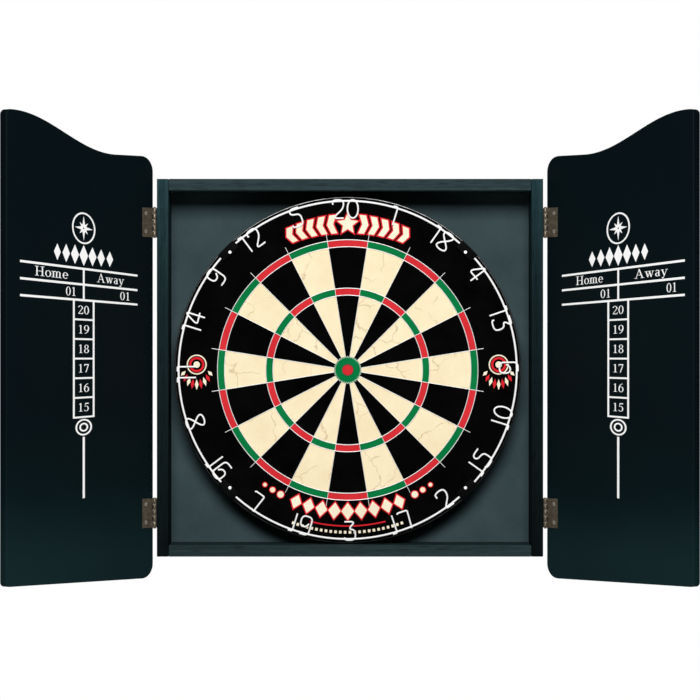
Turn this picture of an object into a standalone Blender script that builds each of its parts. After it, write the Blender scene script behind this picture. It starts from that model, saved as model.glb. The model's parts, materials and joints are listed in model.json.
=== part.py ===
"""A dart board cabinet: a wooden case with two hinged doors, and a bristle board that turns on the
screw that it hangs from.

The frame: the origin is the centre of the rear face, +X is to the right of a person who faces the
open cabinet, +Y goes into the wall and +Z is up. Left and right are that person's left and right.
Lengths are metres. A "face frame" is a frame whose Z runs out of the wall towards that person.
"""

import math

import bmesh
import bpy
from mathutils import Matrix, Vector

MM = 0.001
GAP = 0.3 * MM  # between pieces that touch
PLAY = 0.05 * MM  # keeps joined shapes from sharing a plane

# The case
CASE_WIDTH = 500 * MM
CASE_HEIGHT = 489 * MM
CASE_DEPTH = 80 * MM
PANEL_THICKNESS = 15 * MM
BACK_THICKNESS = 9 * MM
EDGE_ROUND = 0.8 * MM
WALL_HOLE_RADIUS = 2.5 * MM
WALL_HOLE_REACH = 140 * MM  # from the centre, sideways and upwards

# The doors
DOOR_THICKNESS = 12.5 * MM
DOOR_SPLIT = 2 * MM  # between the doors when they are shut
DOOR_BOTTOM = -272 * MM
DOOR_TOP_LOW = 273.5 * MM  # at the hinge side
DOOR_TOP_HIGH = 323 * MM  # at the free side
CREST_FLAT = 8 * MM  # level stretch at the free side
CREST_RUN = 187 * MM  # where the curve ends, from the free edge
CREST_STEPS = 16
OPEN_ANGLE = math.radians(133.25)

# The hinges
PIN_X = CASE_WIDTH / 2 + 2.8 * MM
PIN_Y = -CASE_DEPTH
HINGE_HEIGHTS = {"upper": 188 * MM, "lower": -188 * MM}
HINGE_LENGTH = 38 * MM
KNUCKLES = 5
KNUCKLE_RADIUS = 2.4 * MM
BORE_RADIUS = 1.5 * MM
PIN_RADIUS = 1.2 * MM
PIN_HEAD_RADIUS = 2 * MM
PIN_HEAD_THICKNESS = 0.9 * MM
LEAF_WIDTH = 20.2 * MM
LEAF_THICKNESS = 1.2 * MM
DOOR_LEAF_OFFSET = 1.1 * MM  # from the pin's axis to the leaf, across the leaf
CASE_LEAF_OFFSET = 1.3 * MM
DOOR_FACE_OFFSET = DOOR_LEAF_OFFSET + LEAF_THICKNESS + GAP
DOOR_EDGE_OFFSET = 0.2 * MM  # from the pin's axis to the door's hinge edge
SCREW_FROM_PIN = 14.2 * MM
SCREW_SPREAD = 11.8 * MM
LEAF_SCREW_LENGTH = 11 * MM
LEAF_SCREW_RADIUS = 1.35 * MM
LEAF_SCREW_HEAD = 2.45 * MM
SLOT_HALF_WIDTH = 0.4 * MM
SLOT_DEPTH = 0.6 * MM

# The board, in its face frame
BOARD_X = -3 * MM
BOARD_Z = -3 * MM
BOARD_RADIUS = 225.5 * MM
BAND_THICKNESS = 1.2 * MM
BOARD_BACK = 16 * MM
BOARD_FACE = 54 * MM
BACKING_THICKNESS = 8 * MM
BOARD_SIDES = 80

# The wires on the board's face
SECTORS = 20
WIRE_RADII = (169.5 * MM, 160.4 * MM, 106.5 * MM, 97.4 * MM)  # 8 mm clear inside each pair
WIRE_WIDTH = 1.1 * MM
SPOKE_INNER = 18.6 * MM
SPOKE_OUTER = 179 * MM
SPIDER_SIDES = 40
BULL_RADII = {"outer": 17 * MM, "inner": 7.2 * MM}
BULL_WALL = 0.8 * MM
BULL_DEPTH = 5 * MM
BULL_PROUD = 1.0 * MM

# The number ring
RING_RADIUS = 220 * MM
RING_WIRE = 1.35 * MM
NUMERAL_WIRE = 1.15 * MM
NUMERAL_HEIGHT = 23 * MM
NUMERAL_WIDTH = 14 * MM
NUMERAL_PITCH = 19 * MM
RING_TURN = math.radians(0.8)  # how far the loose ring has crept round
SCORES = (20, 1, 18, 4, 13, 6, 10, 15, 2, 17, 3, 19, 7, 16, 8, 11, 14, 9, 12, 5)
BASES_ON_RING = (10, 15, 2, 17, 3, 19, 7, 16, 8)
CLIP_WIDTH = 27 * MM
CLIP_INNER = 213 * MM
CLIP_OUTER = 224.8 * MM
CLIP_POST = 2.9 * MM
CLIP_THICKNESS = 1.2 * MM

# What the board hangs from, in the same face frame
BRACKET_HEIGHT = 40 * MM
BRACKET_HALF_WIDTH = 30 * MM
BRACKET_HALF_RAISED = 16 * MM
BRACKET_RISE = 3.7 * MM
BRACKET_SHEET = 1.5 * MM
SLOT_RADIUS = 3.2 * MM
NECK_RADIUS = 2.5 * MM
BRACKET_SCREWS = {"1": (-23, 13), "2": (23, 13), "3": (-23, -13), "4": (23, -13)}
BRACKET_SCREW_RADIUS = 1.6 * MM
BRACKET_SCREW_HEAD = 3.4 * MM
BRACKET_SCREW_RISE = 1.8 * MM
SCREW_TIP = 2.5 * MM  # from the wall
BOARD_SCREW_HEAD = 4.6 * MM
BOARD_SCREW_NECK = 12.6 * MM  # from the wall to where the neck starts
BOARD_SCREW_FRONT = 9.8 * MM  # from the wall to the head
HOLE_RADIUS = 1.9 * MM
PAD_RADIUS = 10 * MM
PAD_REACH = 190 * MM


def new_collection(name):
    found = bpy.data.collections.new(name)
    bpy.context.scene.collection.children.link(found)
    return found


def finish(name, colour, roughness, metallic=0.0):
    made = bpy.data.materials.new(name)
    made.use_nodes = True
    shader = made.node_tree.nodes["Principled BSDF"]
    shader.inputs["Base Color"].default_value = (*colour, 1.0)
    shader.inputs["Roughness"].default_value = roughness
    shader.inputs["Metallic"].default_value = metallic
    return made


def add(name, data, made_of, parent=None, location=(0, 0, 0), rotation=(0, 0, 0)):
    """A part made of that material, or a hidden cutter where the material is None."""
    made = bpy.data.objects.new(name, data)
    made.parent = parent
    made.location = location
    made.rotation_euler = rotation
    if made_of:
        data.materials.append(made_of)
        PARTS.objects.link(made)
    else:
        made.hide_render = True
        made.display_type = "WIRE"
        CUTTERS.objects.link(made)
    return made


def add_empty(name, location, rotation=(0, 0, 0)):
    made = bpy.data.objects.new(name, None)
    made.location = location
    made.rotation_euler = rotation
    PARTS.objects.link(made)
    return made


def mesh_of(name, shape):
    data = bpy.data.meshes.new(name)
    shape.to_mesh(data)
    shape.free()
    return data


def add_block(shape, corner, opposite):
    """A box between two opposite corners, given in any order."""
    one = Vector(corner)
    two = Vector(opposite)
    size = [abs(a - b) for a, b in zip(one, two)]
    place = Matrix.Translation((one + two) / 2) @ Matrix.Diagonal((*size, 1.0))
    bmesh.ops.create_cube(shape, size=1.0, matrix=place)


def blocks(name, corners, made_of, **placing):
    shape = bmesh.new()
    for corner, opposite in corners:
        add_block(shape, corner, opposite)
    return add(name, mesh_of(name, shape), made_of, **placing)


def add_rod(shape, start, end, radius, sides, end_radius=None):
    """A cylinder, or a cone where the end's radius differs, between two points."""
    one = Vector(start)
    run = Vector(end) - one
    turn = run.to_track_quat("Z", "Y").to_matrix().to_4x4()
    bmesh.ops.create_cone(
        shape,
        cap_ends=True,
        segments=sides,
        radius1=radius,
        radius2=radius if end_radius is None else end_radius,
        depth=run.length,
        matrix=Matrix.Translation(one + run / 2) @ turn,
    )


def rods(name, runs, radius, made_of, sides=12, **placing):
    shape = bmesh.new()
    for start, end in runs:
        add_rod(shape, start, end, radius, sides)
    return add(name, mesh_of(name, shape), made_of, **placing)


def turned(name, profile, sides, made_of, closed=False, **placing):
    """A profile of (radius, height) points, from the top down its outer side, turned about Z."""
    shape = bmesh.new()
    points = [shape.verts.new((radius, 0, height)) for radius, height in profile]
    for one, two in zip(points, points[1:]):
        shape.edges.new((one, two))
    if closed:
        shape.edges.new((points[-1], points[0]))
    made = add(name, mesh_of(name, shape), made_of, **placing)
    turn = made.modifiers.new("turn", "SCREW")
    turn.steps = sides
    turn.render_steps = sides
    turn.use_merge_vertices = True
    turn.merge_threshold = 0.00001
    turn.use_smooth_shade = True
    return made


def boolean(target, other, operation, within=False):
    change = target.modifiers.new(operation.lower(), "BOOLEAN")
    change.operation = operation
    change.solver = "EXACT"
    change.use_self = within
    change.object = other


def rounded(target, width):
    change = target.modifiers.new("edges", "BEVEL")
    change.width = width
    change.segments = 2
    change.limit_method = "ANGLE"


def curve_solid(name, curve, made_of, **placing):
    """The curve's own solid as a mesh, which a Boolean can then change."""
    guide = bpy.data.objects.new(name + "_curve", curve)
    CUTTERS.objects.link(guide)
    bpy.context.view_layer.update()
    graph = bpy.context.evaluated_depsgraph_get()
    data = bpy.data.meshes.new_from_object(guide.evaluated_get(graph))
    bpy.data.objects.remove(guide)
    shape = bmesh.new()
    shape.from_mesh(data)
    bmesh.ops.remove_doubles(shape, verts=shape.verts, dist=0.00001)
    bmesh.ops.recalc_face_normals(shape, faces=shape.faces)
    shape.to_mesh(data)
    shape.free()
    data.name = name
    data.materials.clear()
    return add(name, data, made_of, **placing)


def arc(centre_x, centre_y, radius_x, radius_y, start, end, steps):
    """Points along part of an ellipse, from one angle in degrees to another."""
    found = []
    for step in range(steps + 1):
        angle = math.radians(start + (end - start) * step / steps)
        found.append((centre_x + radius_x * math.cos(angle), centre_y + radius_y * math.sin(angle)))
    return found


# The case: two full-height sides, with the top, the bottom and the back between them.


def build_case():
    half_width = CASE_WIDTH / 2
    half_height = CASE_HEIGHT / 2
    inner_width = half_width - PANEL_THICKNESS
    inner_height = half_height - PANEL_THICKNESS
    front = -CASE_DEPTH
    panels = {
        "side_panel_left": ((-half_width, front, -half_height), (-inner_width, 0, half_height)),
        "side_panel_right": ((half_width, front, -half_height), (inner_width, 0, half_height)),
        "top_panel": (
            (GAP - inner_width, front, half_height),
            (inner_width - GAP, 0, inner_height),
        ),
        "bottom_panel": (
            (GAP - inner_width, front, -half_height),
            (inner_width - GAP, 0, -inner_height),
        ),
    }
    made = {}
    for name, corners in panels.items():
        made[name] = blocks(name, [corners], BLACK_ASH)
        rounded(made[name], EDGE_ROUND)
    for name, side in (("side_panel_left", -1), ("side_panel_right", 1)):
        holes = []
        for height in HINGE_HEIGHTS.values():
            for spread in (-SCREW_SPREAD, SCREW_SPREAD):
                depth = half_width + LEAF_THICKNESS - LEAF_SCREW_LENGTH - 2 * GAP
                start = (side * (half_width + 2 * GAP), PIN_Y + SCREW_FROM_PIN, height + spread)
                holes.append((start, (side * depth, start[1], start[2])))
        boolean(made[name], rods(name + "_holes", holes, LEAF_SCREW_RADIUS + GAP, None), "DIFFERENCE")

    back = blocks(
        "back_panel",
        [
            (
                (GAP - inner_width, -BACK_THICKNESS, GAP - inner_height),
                (inner_width - GAP, 0, inner_height - GAP),
            )
        ],
        BLACK_PANEL,
    )
    through = []
    for side in (-WALL_HOLE_REACH, WALL_HOLE_REACH):
        for height in (-WALL_HOLE_REACH, WALL_HOLE_REACH):
            through.append(((side, -2 * BACK_THICKNESS, height), (side, BACK_THICKNESS, height)))
    boolean(back, rods("wall_holes", through, WALL_HOLE_RADIUS, None), "DIFFERENCE")
    pilots = []
    for side, height in BRACKET_SCREWS.values():
        side = BOARD_X + side * MM
        height = BOARD_Z + height * MM
        pilots.append(((side, -2 * BACK_THICKNESS, height), (side, -2 * MM, height)))
    boolean(back, rods("pilot_holes", pilots, HOLE_RADIUS, None), "DIFFERENCE")


# A hinge: a leaf on the side panel, a leaf on the door's inner face, a pin and four screws.


def knuckle_runs(rows, shorten):
    """The lowest and highest points of those knuckles, from the hinge's middle."""
    pitch = HINGE_LENGTH / KNUCKLES
    found = []
    for row in rows:
        low = row * pitch - HINGE_LENGTH / 2
        found.append((low + shorten, low + pitch - shorten))
    return found


def hinge_leaf(name, corner, opposite, screw_axis, rows, **placing):
    """A plate between two corners, with its knuckles on those rows, bored for the pin and screws."""
    top = HINGE_LENGTH / 2
    leaf = blocks(name, [((*corner, -top), (*opposite, top))], BRONZE, **placing)
    others = [row for row in range(KNUCKLES) if row not in rows]
    reach = KNUCKLE_RADIUS + 2 * GAP
    notches = []
    for low, high in knuckle_runs(others, -GAP / 2):
        notches.append(((-reach, -reach, low), (reach, reach, high)))
    boolean(leaf, blocks(name + "_notches", notches, None, **placing), "DIFFERENCE")
    runs = [((0, 0, low), (0, 0, high)) for low, high in knuckle_runs(rows, GAP / 2 + PLAY)]
    boolean(leaf, rods(name + "_knuckles", runs, KNUCKLE_RADIUS, None, 12, **placing), "UNION")
    bore = [((0, 0, -2 * top), (0, 0, 2 * top))]
    boolean(leaf, rods(name + "_bore", bore, BORE_RADIUS, None, 8, **placing), "DIFFERENCE")

    shape = bmesh.new()
    for place, inward in screw_axis:
        mouth = Vector(place) - Vector(inward) * GAP
        throat = LEAF_SCREW_HEAD - LEAF_SCREW_RADIUS + 2 * GAP
        wide = LEAF_SCREW_HEAD + 2 * GAP
        narrow = LEAF_SCREW_RADIUS + GAP
        add_rod(shape, mouth, mouth + Vector(inward) * throat, wide, 8, wide - throat)
        inner = mouth + Vector(inward) * (throat - GAP)
        add_rod(shape, inner, inner + Vector(inward) * 2 * LEAF_THICKNESS, narrow - PLAY, 8)
    holes = add(name + "_holes", mesh_of(name + "_holes", shape), None, **placing)
    boolean(leaf, holes, "DIFFERENCE", within=True)
    return leaf


def leaf_screw(name, place, inward, **placing):
    """A countersunk screw whose head is level with the leaf, with one driving slot."""
    radius = LEAF_SCREW_RADIUS
    head = LEAF_SCREW_HEAD
    profile = (
        (0, 0),
        (head, 0),
        (head, -PLAY * 2),
        (radius, radius - head - PLAY * 2),
        (radius, radius - LEAF_SCREW_LENGTH),
        (0, -LEAF_SCREW_LENGTH),
    )
    turn = (-Vector(inward)).to_track_quat("Z", "Y").to_euler()
    at = Vector(place) + Vector(inward) * PLAY
    made = turned(name, profile, 12, STEEL, location=at, rotation=turn, **placing)
    slot = [((-2 * head, -SLOT_HALF_WIDTH, -SLOT_DEPTH), (2 * head, SLOT_HALF_WIDTH, MM))]
    cutter = blocks(name + "_slot", slot, None, location=at, rotation=turn, **placing)
    boolean(made, cutter, "DIFFERENCE")


def build_hinge(side, side_name, level_name, door_frame):
    height = HINGE_HEIGHTS[level_name]
    name = f"hinge_{side_name}_{level_name}"
    middle = Vector((side * PIN_X, PIN_Y, height))

    # On the side panel, the leaf runs back from the pin.
    outer = CASE_LEAF_OFFSET
    screws = []
    for spread in (-SCREW_SPREAD, SCREW_SPREAD):
        screws.append(((-side * outer, SCREW_FROM_PIN, spread), (-side, 0, 0)))
    corner = (-side * outer, 0)
    opposite = (-side * (outer + LEAF_THICKNESS), LEAF_WIDTH)
    hinge_leaf(name + "_case_leaf", corner, opposite, screws, (1, 3), location=middle)
    for number, (place, inward) in enumerate(screws, 1):
        leaf_screw(f"{name}_case_screw_{number}", middle + Vector(place), inward)

    # On the door, the leaf runs towards the middle of the shut cabinet.
    screws = []
    for spread in (-SCREW_SPREAD, SCREW_SPREAD):
        screws.append(((-side * SCREW_FROM_PIN, -DOOR_LEAF_OFFSET, spread), (0, -1, 0)))
    corner = (0, -DOOR_LEAF_OFFSET)
    opposite = (-side * LEAF_WIDTH, -DOOR_LEAF_OFFSET - LEAF_THICKNESS)
    lift = Vector((0, 0, height))
    placing = {"parent": door_frame, "location": lift}
    hinge_leaf(name + "_door_leaf", corner, opposite, screws, (0, 2, 4), **placing)
    for number, (place, inward) in enumerate(screws, 1):
        leaf_screw(f"{name}_door_screw_{number}", lift + Vector(place), inward, parent=door_frame)

    top = HINGE_LENGTH / 2 + GAP
    shoulder = top + PIN_HEAD_THICKNESS / 2
    crown = top + PIN_HEAD_THICKNESS
    domed = PIN_HEAD_RADIUS - PIN_HEAD_THICKNESS / 2
    upper = (
        (0, crown),
        (domed, crown),
        (PIN_HEAD_RADIUS, shoulder),
        (PIN_HEAD_RADIUS, top),
        (PIN_RADIUS, top),
    )
    profile = upper + tuple((radius, -level) for radius, level in reversed(upper))
    turned(name + "_pin", profile, 12, BRONZE, location=middle)


# A door: a flat board whose top edge rises in one wave from the hinge side to the free side.


def corner_points(centre_x, centre_y, radius, start):
    return arc(centre_x, centre_y, radius, radius, start, start - 90, 4)


def door_outline(width):
    """Points round the door, clockwise, with x from the free edge to the hinge edge."""
    free_top = 7 * MM
    hinge_top = 20 * MM
    hinge_bottom = 19 * MM
    free_bottom = 6 * MM
    found = corner_points(free_top, DOOR_TOP_HIGH - free_top, free_top, 180)
    middle = (DOOR_TOP_HIGH + DOOR_TOP_LOW) / 2
    swing = (DOOR_TOP_HIGH - DOOR_TOP_LOW) / 2
    for step in range(CREST_STEPS + 1):
        share = step / CREST_STEPS
        along = CREST_FLAT + (CREST_RUN - CREST_FLAT) * share
        found.append((along, middle + swing * math.cos(math.pi * share)))
    found += corner_points(width - hinge_top, DOOR_TOP_LOW - hinge_top, hinge_top, 90)
    found += corner_points(width - hinge_bottom, DOOR_BOTTOM + hinge_bottom, hinge_bottom, 0)
    found += corner_points(free_bottom, DOOR_BOTTOM + free_bottom, free_bottom, -90)
    return found


def build_door(side, side_name):
    frame = add_empty(
        f"door_axis_{side_name}", (side * PIN_X, PIN_Y, 0), (0, 0, side * OPEN_ANGLE)
    )
    free_edge = PIN_X - DOOR_SPLIT / 2
    width = free_edge - DOOR_EDGE_OFFSET
    curve = bpy.data.curves.new(f"door_{side_name}_outline", "CURVE")
    curve.dimensions = "2D"
    curve.fill_mode = "BOTH"
    curve.extrude = DOOR_THICKNESS / 2
    outline = door_outline(width)
    spline = curve.splines.new("POLY")
    spline.points.add(len(outline) - 1)
    for point, (along, height) in zip(spline.points, outline):
        point.co = (-side * (free_edge - along), height, 0, 1)
    spline.use_cyclic_u = True
    back = -DOOR_FACE_OFFSET - DOOR_THICKNESS / 2
    stand_up = (math.pi / 2, 0, 0)
    door = curve_solid(
        f"door_{side_name}", curve, BLACK_SATIN, parent=frame, location=(0, back, 0), rotation=stand_up
    )
    holes = []
    for height in HINGE_HEIGHTS.values():
        for spread in (-SCREW_SPREAD, SCREW_SPREAD):
            along = -side * SCREW_FROM_PIN
            deep = -LEAF_SCREW_LENGTH - DOOR_LEAF_OFFSET - 2 * GAP
            level = height + spread
            holes.append(((along, GAP - DOOR_FACE_OFFSET, level), (along, deep, level)))
    cutter = rods(f"door_{side_name}_holes", holes, LEAF_SCREW_RADIUS + GAP, None, parent=frame)
    boolean(door, cutter, "DIFFERENCE")
    return frame


# The board: a chipboard backing, a disc of packed sisal and a steel band round both.


def ring_profile(inner, outer, low, high):
    return ((inner, high), (outer, high), (outer, low), (inner, low))


def build_board(frame):
    inside = BOARD_RADIUS - BAND_THICKNESS - GAP
    backing_top = BOARD_BACK + BACKING_THICKNESS
    profile = (
        (0, backing_top),
        (inside, backing_top),
        (inside, BOARD_BACK),
        (0, BOARD_BACK),
    )
    backing = turned("board_backing", profile, BOARD_SIDES, CHIPBOARD, parent=frame)
    socket = [((0, 0, 0), (0, 0, backing_top - 1.5 * MM))]
    boolean(backing, rods("backing_hole", socket, HOLE_RADIUS, None, parent=frame), "DIFFERENCE")

    sisal_back = backing_top + GAP
    profile = ((0, BOARD_FACE), (inside, BOARD_FACE), (inside, sisal_back), (0, sisal_back))
    sisal = turned("sisal_disc", profile, BOARD_SIDES, SISAL, parent=frame)
    for name, radius in BULL_RADII.items():
        half = BULL_WALL / 2 + GAP
        groove = ring_profile(radius - half, radius + half, BOARD_FACE - BULL_DEPTH, BOARD_FACE + MM)
        cutter = turned(f"bull_groove_{name}", groove, 24, None, closed=True, parent=frame)
        boolean(sisal, cutter, "DIFFERENCE")
        half = BULL_WALL / 2
        low = BOARD_FACE - BULL_DEPTH + GAP
        hoop = ring_profile(radius - half, radius + half, low, BOARD_FACE + BULL_PROUD)
        turned(f"bull_ring_{name}", hoop, 24, STEEL, closed=True, parent=frame)

    profile = ring_profile(BOARD_RADIUS - BAND_THICKNESS, BOARD_RADIUS, BOARD_BACK, BOARD_FACE)
    turned("rim_band", profile, BOARD_SIDES, BLACK_STEEL, closed=True, parent=frame)


# The spider: four rings of wire and one spoke between every two sectors, welded together.


def build_spider(frame):
    low = BOARD_FACE + GAP
    high = low + WIRE_WIDTH
    shape = bmesh.new()
    for step in range(SECTORS):
        angle = 2 * math.pi * (step + 0.5) / SECTORS
        away = Vector((math.sin(angle), math.cos(angle), 0))
        lift = Vector((0, 0, (low + high) / 2))
        add_rod(shape, away * SPOKE_INNER + lift, away * SPOKE_OUTER + lift, WIRE_WIDTH / 2, 4)
    spider = add("spider", mesh_of("spider", shape), STEEL, parent=frame)
    # Each spoke crosses the hoops in the middle of one of their flat sides.
    placing = {"parent": frame, "rotation": (0, 0, math.pi / SPIDER_SIDES)}
    for number, radius in enumerate(WIRE_RADII):
        half = WIRE_WIDTH / 2
        profile = ring_profile(radius - half, radius + half, low - PLAY, high + PLAY)
        hoop = turned(f"spider_hoop_{number}", profile, SPIDER_SIDES, None, closed=True, **placing)
        boolean(spider, hoop, "UNION")


# The number ring: a wire hoop with the twenty scores bent from thinner wire and welded inside it.


def eased(corners, cut):
    """The path through those corners, with up to that much of each side rounded off."""
    points = [Vector(corner) for corner in corners]
    found = [points[0]]
    for before, here, after in zip(points, points[1:], points[2:]):
        start = here.lerp(before, min(0.5, cut / (before - here).length))
        end = here.lerp(after, min(0.5, cut / (after - here).length))
        found += [start, (start + end) / 4 + here / 2, end]
    found.append(points[-1])
    return [tuple(point) for point in found]


def digit_path(digit, base_on_ring):
    """The wire's path for one digit, in a box one unit high and centred at x = 0."""
    side = NUMERAL_WIDTH / NUMERAL_HEIGHT / 2
    if digit == 0:
        return arc(0, 0.5, side, 0.5, 90, 450, 12)
    if digit == 1:
        foot = 0 if base_on_ring else 1
        return [(0, 1 - foot), (0, foot), (-0.85 * side, foot)]
    if digit == 8:
        turns = [2 * math.pi * (step + 0.5) / 16 for step in range(17)]
        return [(side * math.sin(2 * turn), 0.5 + 0.5 * math.cos(turn)) for turn in turns]
    nine = [(0.6, 0.64), (0.1, 0.4), (-1, 0.44), (-1, 1), (1, 1), (1, 0), (-0.7, 0)]
    corners = {
        2: [(-1, 0.74), (-1, 1), (1, 1), (1, 0.55), (-1, 0), (1, 0)],
        3: [(-1, 1), (1, 1), (-0.3, 0.6), (1, 0.55), (1, 0), (-1, 0), (-1, 0.16)],
        4: [(0.4, 0), (0.4, 1), (0.1, 1), (-1, 0.45), (-1, 0.3), (1, 0.34)],
        5: [(1, 1), (-0.8, 1), (-0.8, 0.68), (1, 0.64), (1, 0), (-1, 0), (-1, 0.14)],
        6: [(-x, 1 - y) for x, y in nine],
        7: [(-1, 0.94), (-0.9, 1), (1, 1), (0.8, 0)],
        9: nine,
    }[digit]
    return eased([(x * side, y) for x, y in corners], 0.1 if digit in (4, 7) else 0.25)


def numeral_strokes():
    """The wire's path for every digit of the twenty scores, in the board's face frame."""
    found = []
    for number, score in enumerate(SCORES):
        angle = 2 * math.pi * number / SECTORS - RING_TURN
        outward = Vector((math.sin(angle), math.cos(angle)))
        on_ring = score in BASES_ON_RING
        up = -outward if on_ring else outward
        across = Vector((up.y, -up.x))
        base = RING_RADIUS if on_ring else RING_RADIUS - NUMERAL_HEIGHT
        digits = [int(letter) for letter in str(score)]
        pitch = NUMERAL_PITCH * (0.75 if 1 in digits else 1)
        for place, digit in enumerate(digits):
            shift = (place - (len(digits) - 1) / 2) * pitch
            path = []
            for x, y in digit_path(digit, on_ring):
                spot = outward * base + across * (x * NUMERAL_HEIGHT + shift)
                path.append(spot + up * y * NUMERAL_HEIGHT)
            found.append(reach_ring(path))
    return found


def reach_ring(path):
    """The same path with its outer points moved on to the ring's wire."""
    limit = RING_RADIUS - 2 * NUMERAL_WIRE
    return [spot * (RING_RADIUS / spot.length) if spot.length > limit else spot for spot in path]


def build_number_ring(frame):
    lift = BOARD_FACE + GAP + RING_WIRE
    curve = bpy.data.curves.new("numeral_wire", "CURVE")
    curve.dimensions = "3D"
    curve.bevel_depth = NUMERAL_WIRE
    curve.bevel_resolution = 0
    curve.use_fill_caps = True
    for path in numeral_strokes():
        looped = (path[0] - path[-1]).length < NUMERAL_WIRE
        points = path[:-1] if looped else path
        spline = curve.splines.new("POLY")
        spline.points.add(len(points) - 1)
        for point, spot in zip(spline.points, points):
            point.co = (spot.x, spot.y, lift, 1)
        spline.use_cyclic_u = looped
    numerals = curve_solid("numerals", curve, None, parent=frame)

    profile = arc(RING_RADIUS, lift, RING_WIRE, RING_WIRE, 120, -180, 5)
    ring = turned("number_ring", profile, BOARD_SIDES, STEEL, closed=True, parent=frame)
    boolean(ring, numerals, "UNION", within=True)


def build_clips(frame):
    over = BOARD_FACE + 2 * GAP + 2 * RING_WIRE
    half = CLIP_WIDTH / 2
    for number, angle in enumerate((45, 135, 225, 315), 1):
        name = f"ring_clip_{number}"
        placing = {"parent": frame, "rotation": (0, 0, -math.radians(angle))}
        arm = [((-half, CLIP_INNER, over), (half, CLIP_OUTER, over + CLIP_THICKNESS))]
        clip = blocks(name, arm, BLACK_PLASTIC, **placing)
        low = BOARD_FACE + GAP
        inset = half - PLAY
        post_top = over + CLIP_THICKNESS / 2
        post = [((-inset, CLIP_OUTER - CLIP_POST, low), (inset, CLIP_OUTER - PLAY, post_top))]
        boolean(clip, blocks(name + "_post", post, None, **placing), "UNION")


# What holds the board: a raised steel bracket on the back panel, and a screw in the backing whose
# head drops behind the bracket's slot. Three pads keep the board's edge off the back panel.


def build_bracket(frame):
    low = BACK_THICKNESS + GAP
    raised = low + BRACKET_RISE
    half = BRACKET_HALF_RAISED
    wide = BRACKET_HALF_WIDTH
    sheet = BRACKET_SHEET
    tall = BRACKET_HEIGHT / 2
    plate = [((-wide, -tall, low), (wide, tall, low + sheet))]
    bracket = blocks("hanging_bracket", plate, STEEL, parent=frame)
    box = [((-half, PLAY - tall, low + PLAY), (half, tall - PLAY, raised + sheet))]
    boolean(bracket, blocks("bracket_box", box, None, parent=frame), "UNION")
    inner = half - sheet
    hollow = [((-inner, -2 * tall, 0), (inner, 2 * tall, raised))]
    boolean(bracket, blocks("bracket_hollow", hollow, None, parent=frame), "DIFFERENCE")
    slot = [((-SLOT_RADIUS, 0, low), (SLOT_RADIUS, 2 * tall, raised + 2 * sheet))]
    boolean(bracket, blocks("bracket_slot", slot, None, parent=frame), "DIFFERENCE")
    seat = [((0, 0, low), (0, 0, raised + 3 * sheet))]
    cutter = rods("bracket_seat", seat, SLOT_RADIUS, None, 24, parent=frame)
    boolean(bracket, cutter, "DIFFERENCE")
    holes = []
    for side, height in BRACKET_SCREWS.values():
        holes.append(((side * MM, height * MM, 0), (side * MM, height * MM, raised)))
    boolean(bracket, rods("bracket_holes", holes, HOLE_RADIUS, None, parent=frame), "DIFFERENCE")

    under = low + sheet + GAP
    head = BRACKET_SCREW_HEAD
    crown = under + BRACKET_SCREW_RISE
    profile = (
        (0, crown),
        (head - MM, crown),
        (head, crown - MM),
        (head, under),
        (BRACKET_SCREW_RADIUS, under),
        (BRACKET_SCREW_RADIUS, SCREW_TIP + BRACKET_SCREW_RADIUS),
        (0, SCREW_TIP),
    )
    for name, (side, height) in BRACKET_SCREWS.items():
        place = (side * MM, height * MM, 0)
        turned(f"bracket_screw_{name}", profile, 12, STEEL, parent=frame, location=place)


def build_board_fixings(frame):
    thread = BRACKET_SCREW_RADIUS
    profile = (
        (0, BOARD_BACK + BACKING_THICKNESS - 2 * MM),
        (thread, BOARD_BACK + BACKING_THICKNESS - 4 * MM),
        (thread, BOARD_BACK - GAP),
        (NECK_RADIUS, BOARD_BACK - GAP),
        (NECK_RADIUS, BOARD_SCREW_NECK),
        (BOARD_SCREW_HEAD, BOARD_SCREW_NECK),
        (BOARD_SCREW_HEAD, BOARD_SCREW_FRONT + MM),
        (BOARD_SCREW_HEAD - MM, BOARD_SCREW_FRONT),
        (0, BOARD_SCREW_FRONT),
    )
    turned("board_screw", profile, 16, STEEL, parent=frame)
    for number, angle in enumerate((90, 210, 330), 1):
        turn = math.radians(angle)
        spot = Vector((math.cos(turn), math.sin(turn), 0)) * PAD_REACH
        rear = spot + Vector((0, 0, BACK_THICKNESS + GAP))
        front = spot + Vector((0, 0, BOARD_BACK - GAP))
        rods(f"spacer_pad_{number}", [(rear, front)], PAD_RADIUS, RUBBER, 20, parent=frame)


for old in list(bpy.data.objects):
    bpy.data.objects.remove(old)

PARTS = new_collection("dart_board_cabinet")
CUTTERS = new_collection("cutters")
BLACK_ASH = finish("black_stained_ash", (0.012, 0.022, 0.026), 0.55)
BLACK_PANEL = finish("black_back_panel", (0.036, 0.056, 0.064), 0.6)
BLACK_SATIN = finish("black_satin_lacquer", (0.006, 0.012, 0.015), 0.4)
BRONZE = finish("bronzed_steel", (0.12, 0.08, 0.055), 0.4, 1.0)
STEEL = finish("white_steel_wire", (0.8, 0.8, 0.8), 0.35, 0.6)
BLACK_STEEL = finish("black_steel_band", (0.01, 0.01, 0.01), 0.35, 0.3)
SISAL = finish("sisal", (0.85, 0.76, 0.55), 0.9)
CHIPBOARD = finish("chipboard", (0.42, 0.3, 0.18), 0.85)
BLACK_PLASTIC = finish("black_plastic", (0.01, 0.01, 0.01), 0.45)
RUBBER = finish("black_rubber", (0.02, 0.02, 0.02), 0.8)

build_case()
for side, side_name in ((-1, "left"), (1, "right")):
    door_frame = build_door(side, side_name)
    for level_name in HINGE_HEIGHTS:
        build_hinge(side, side_name, level_name, door_frame)

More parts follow.
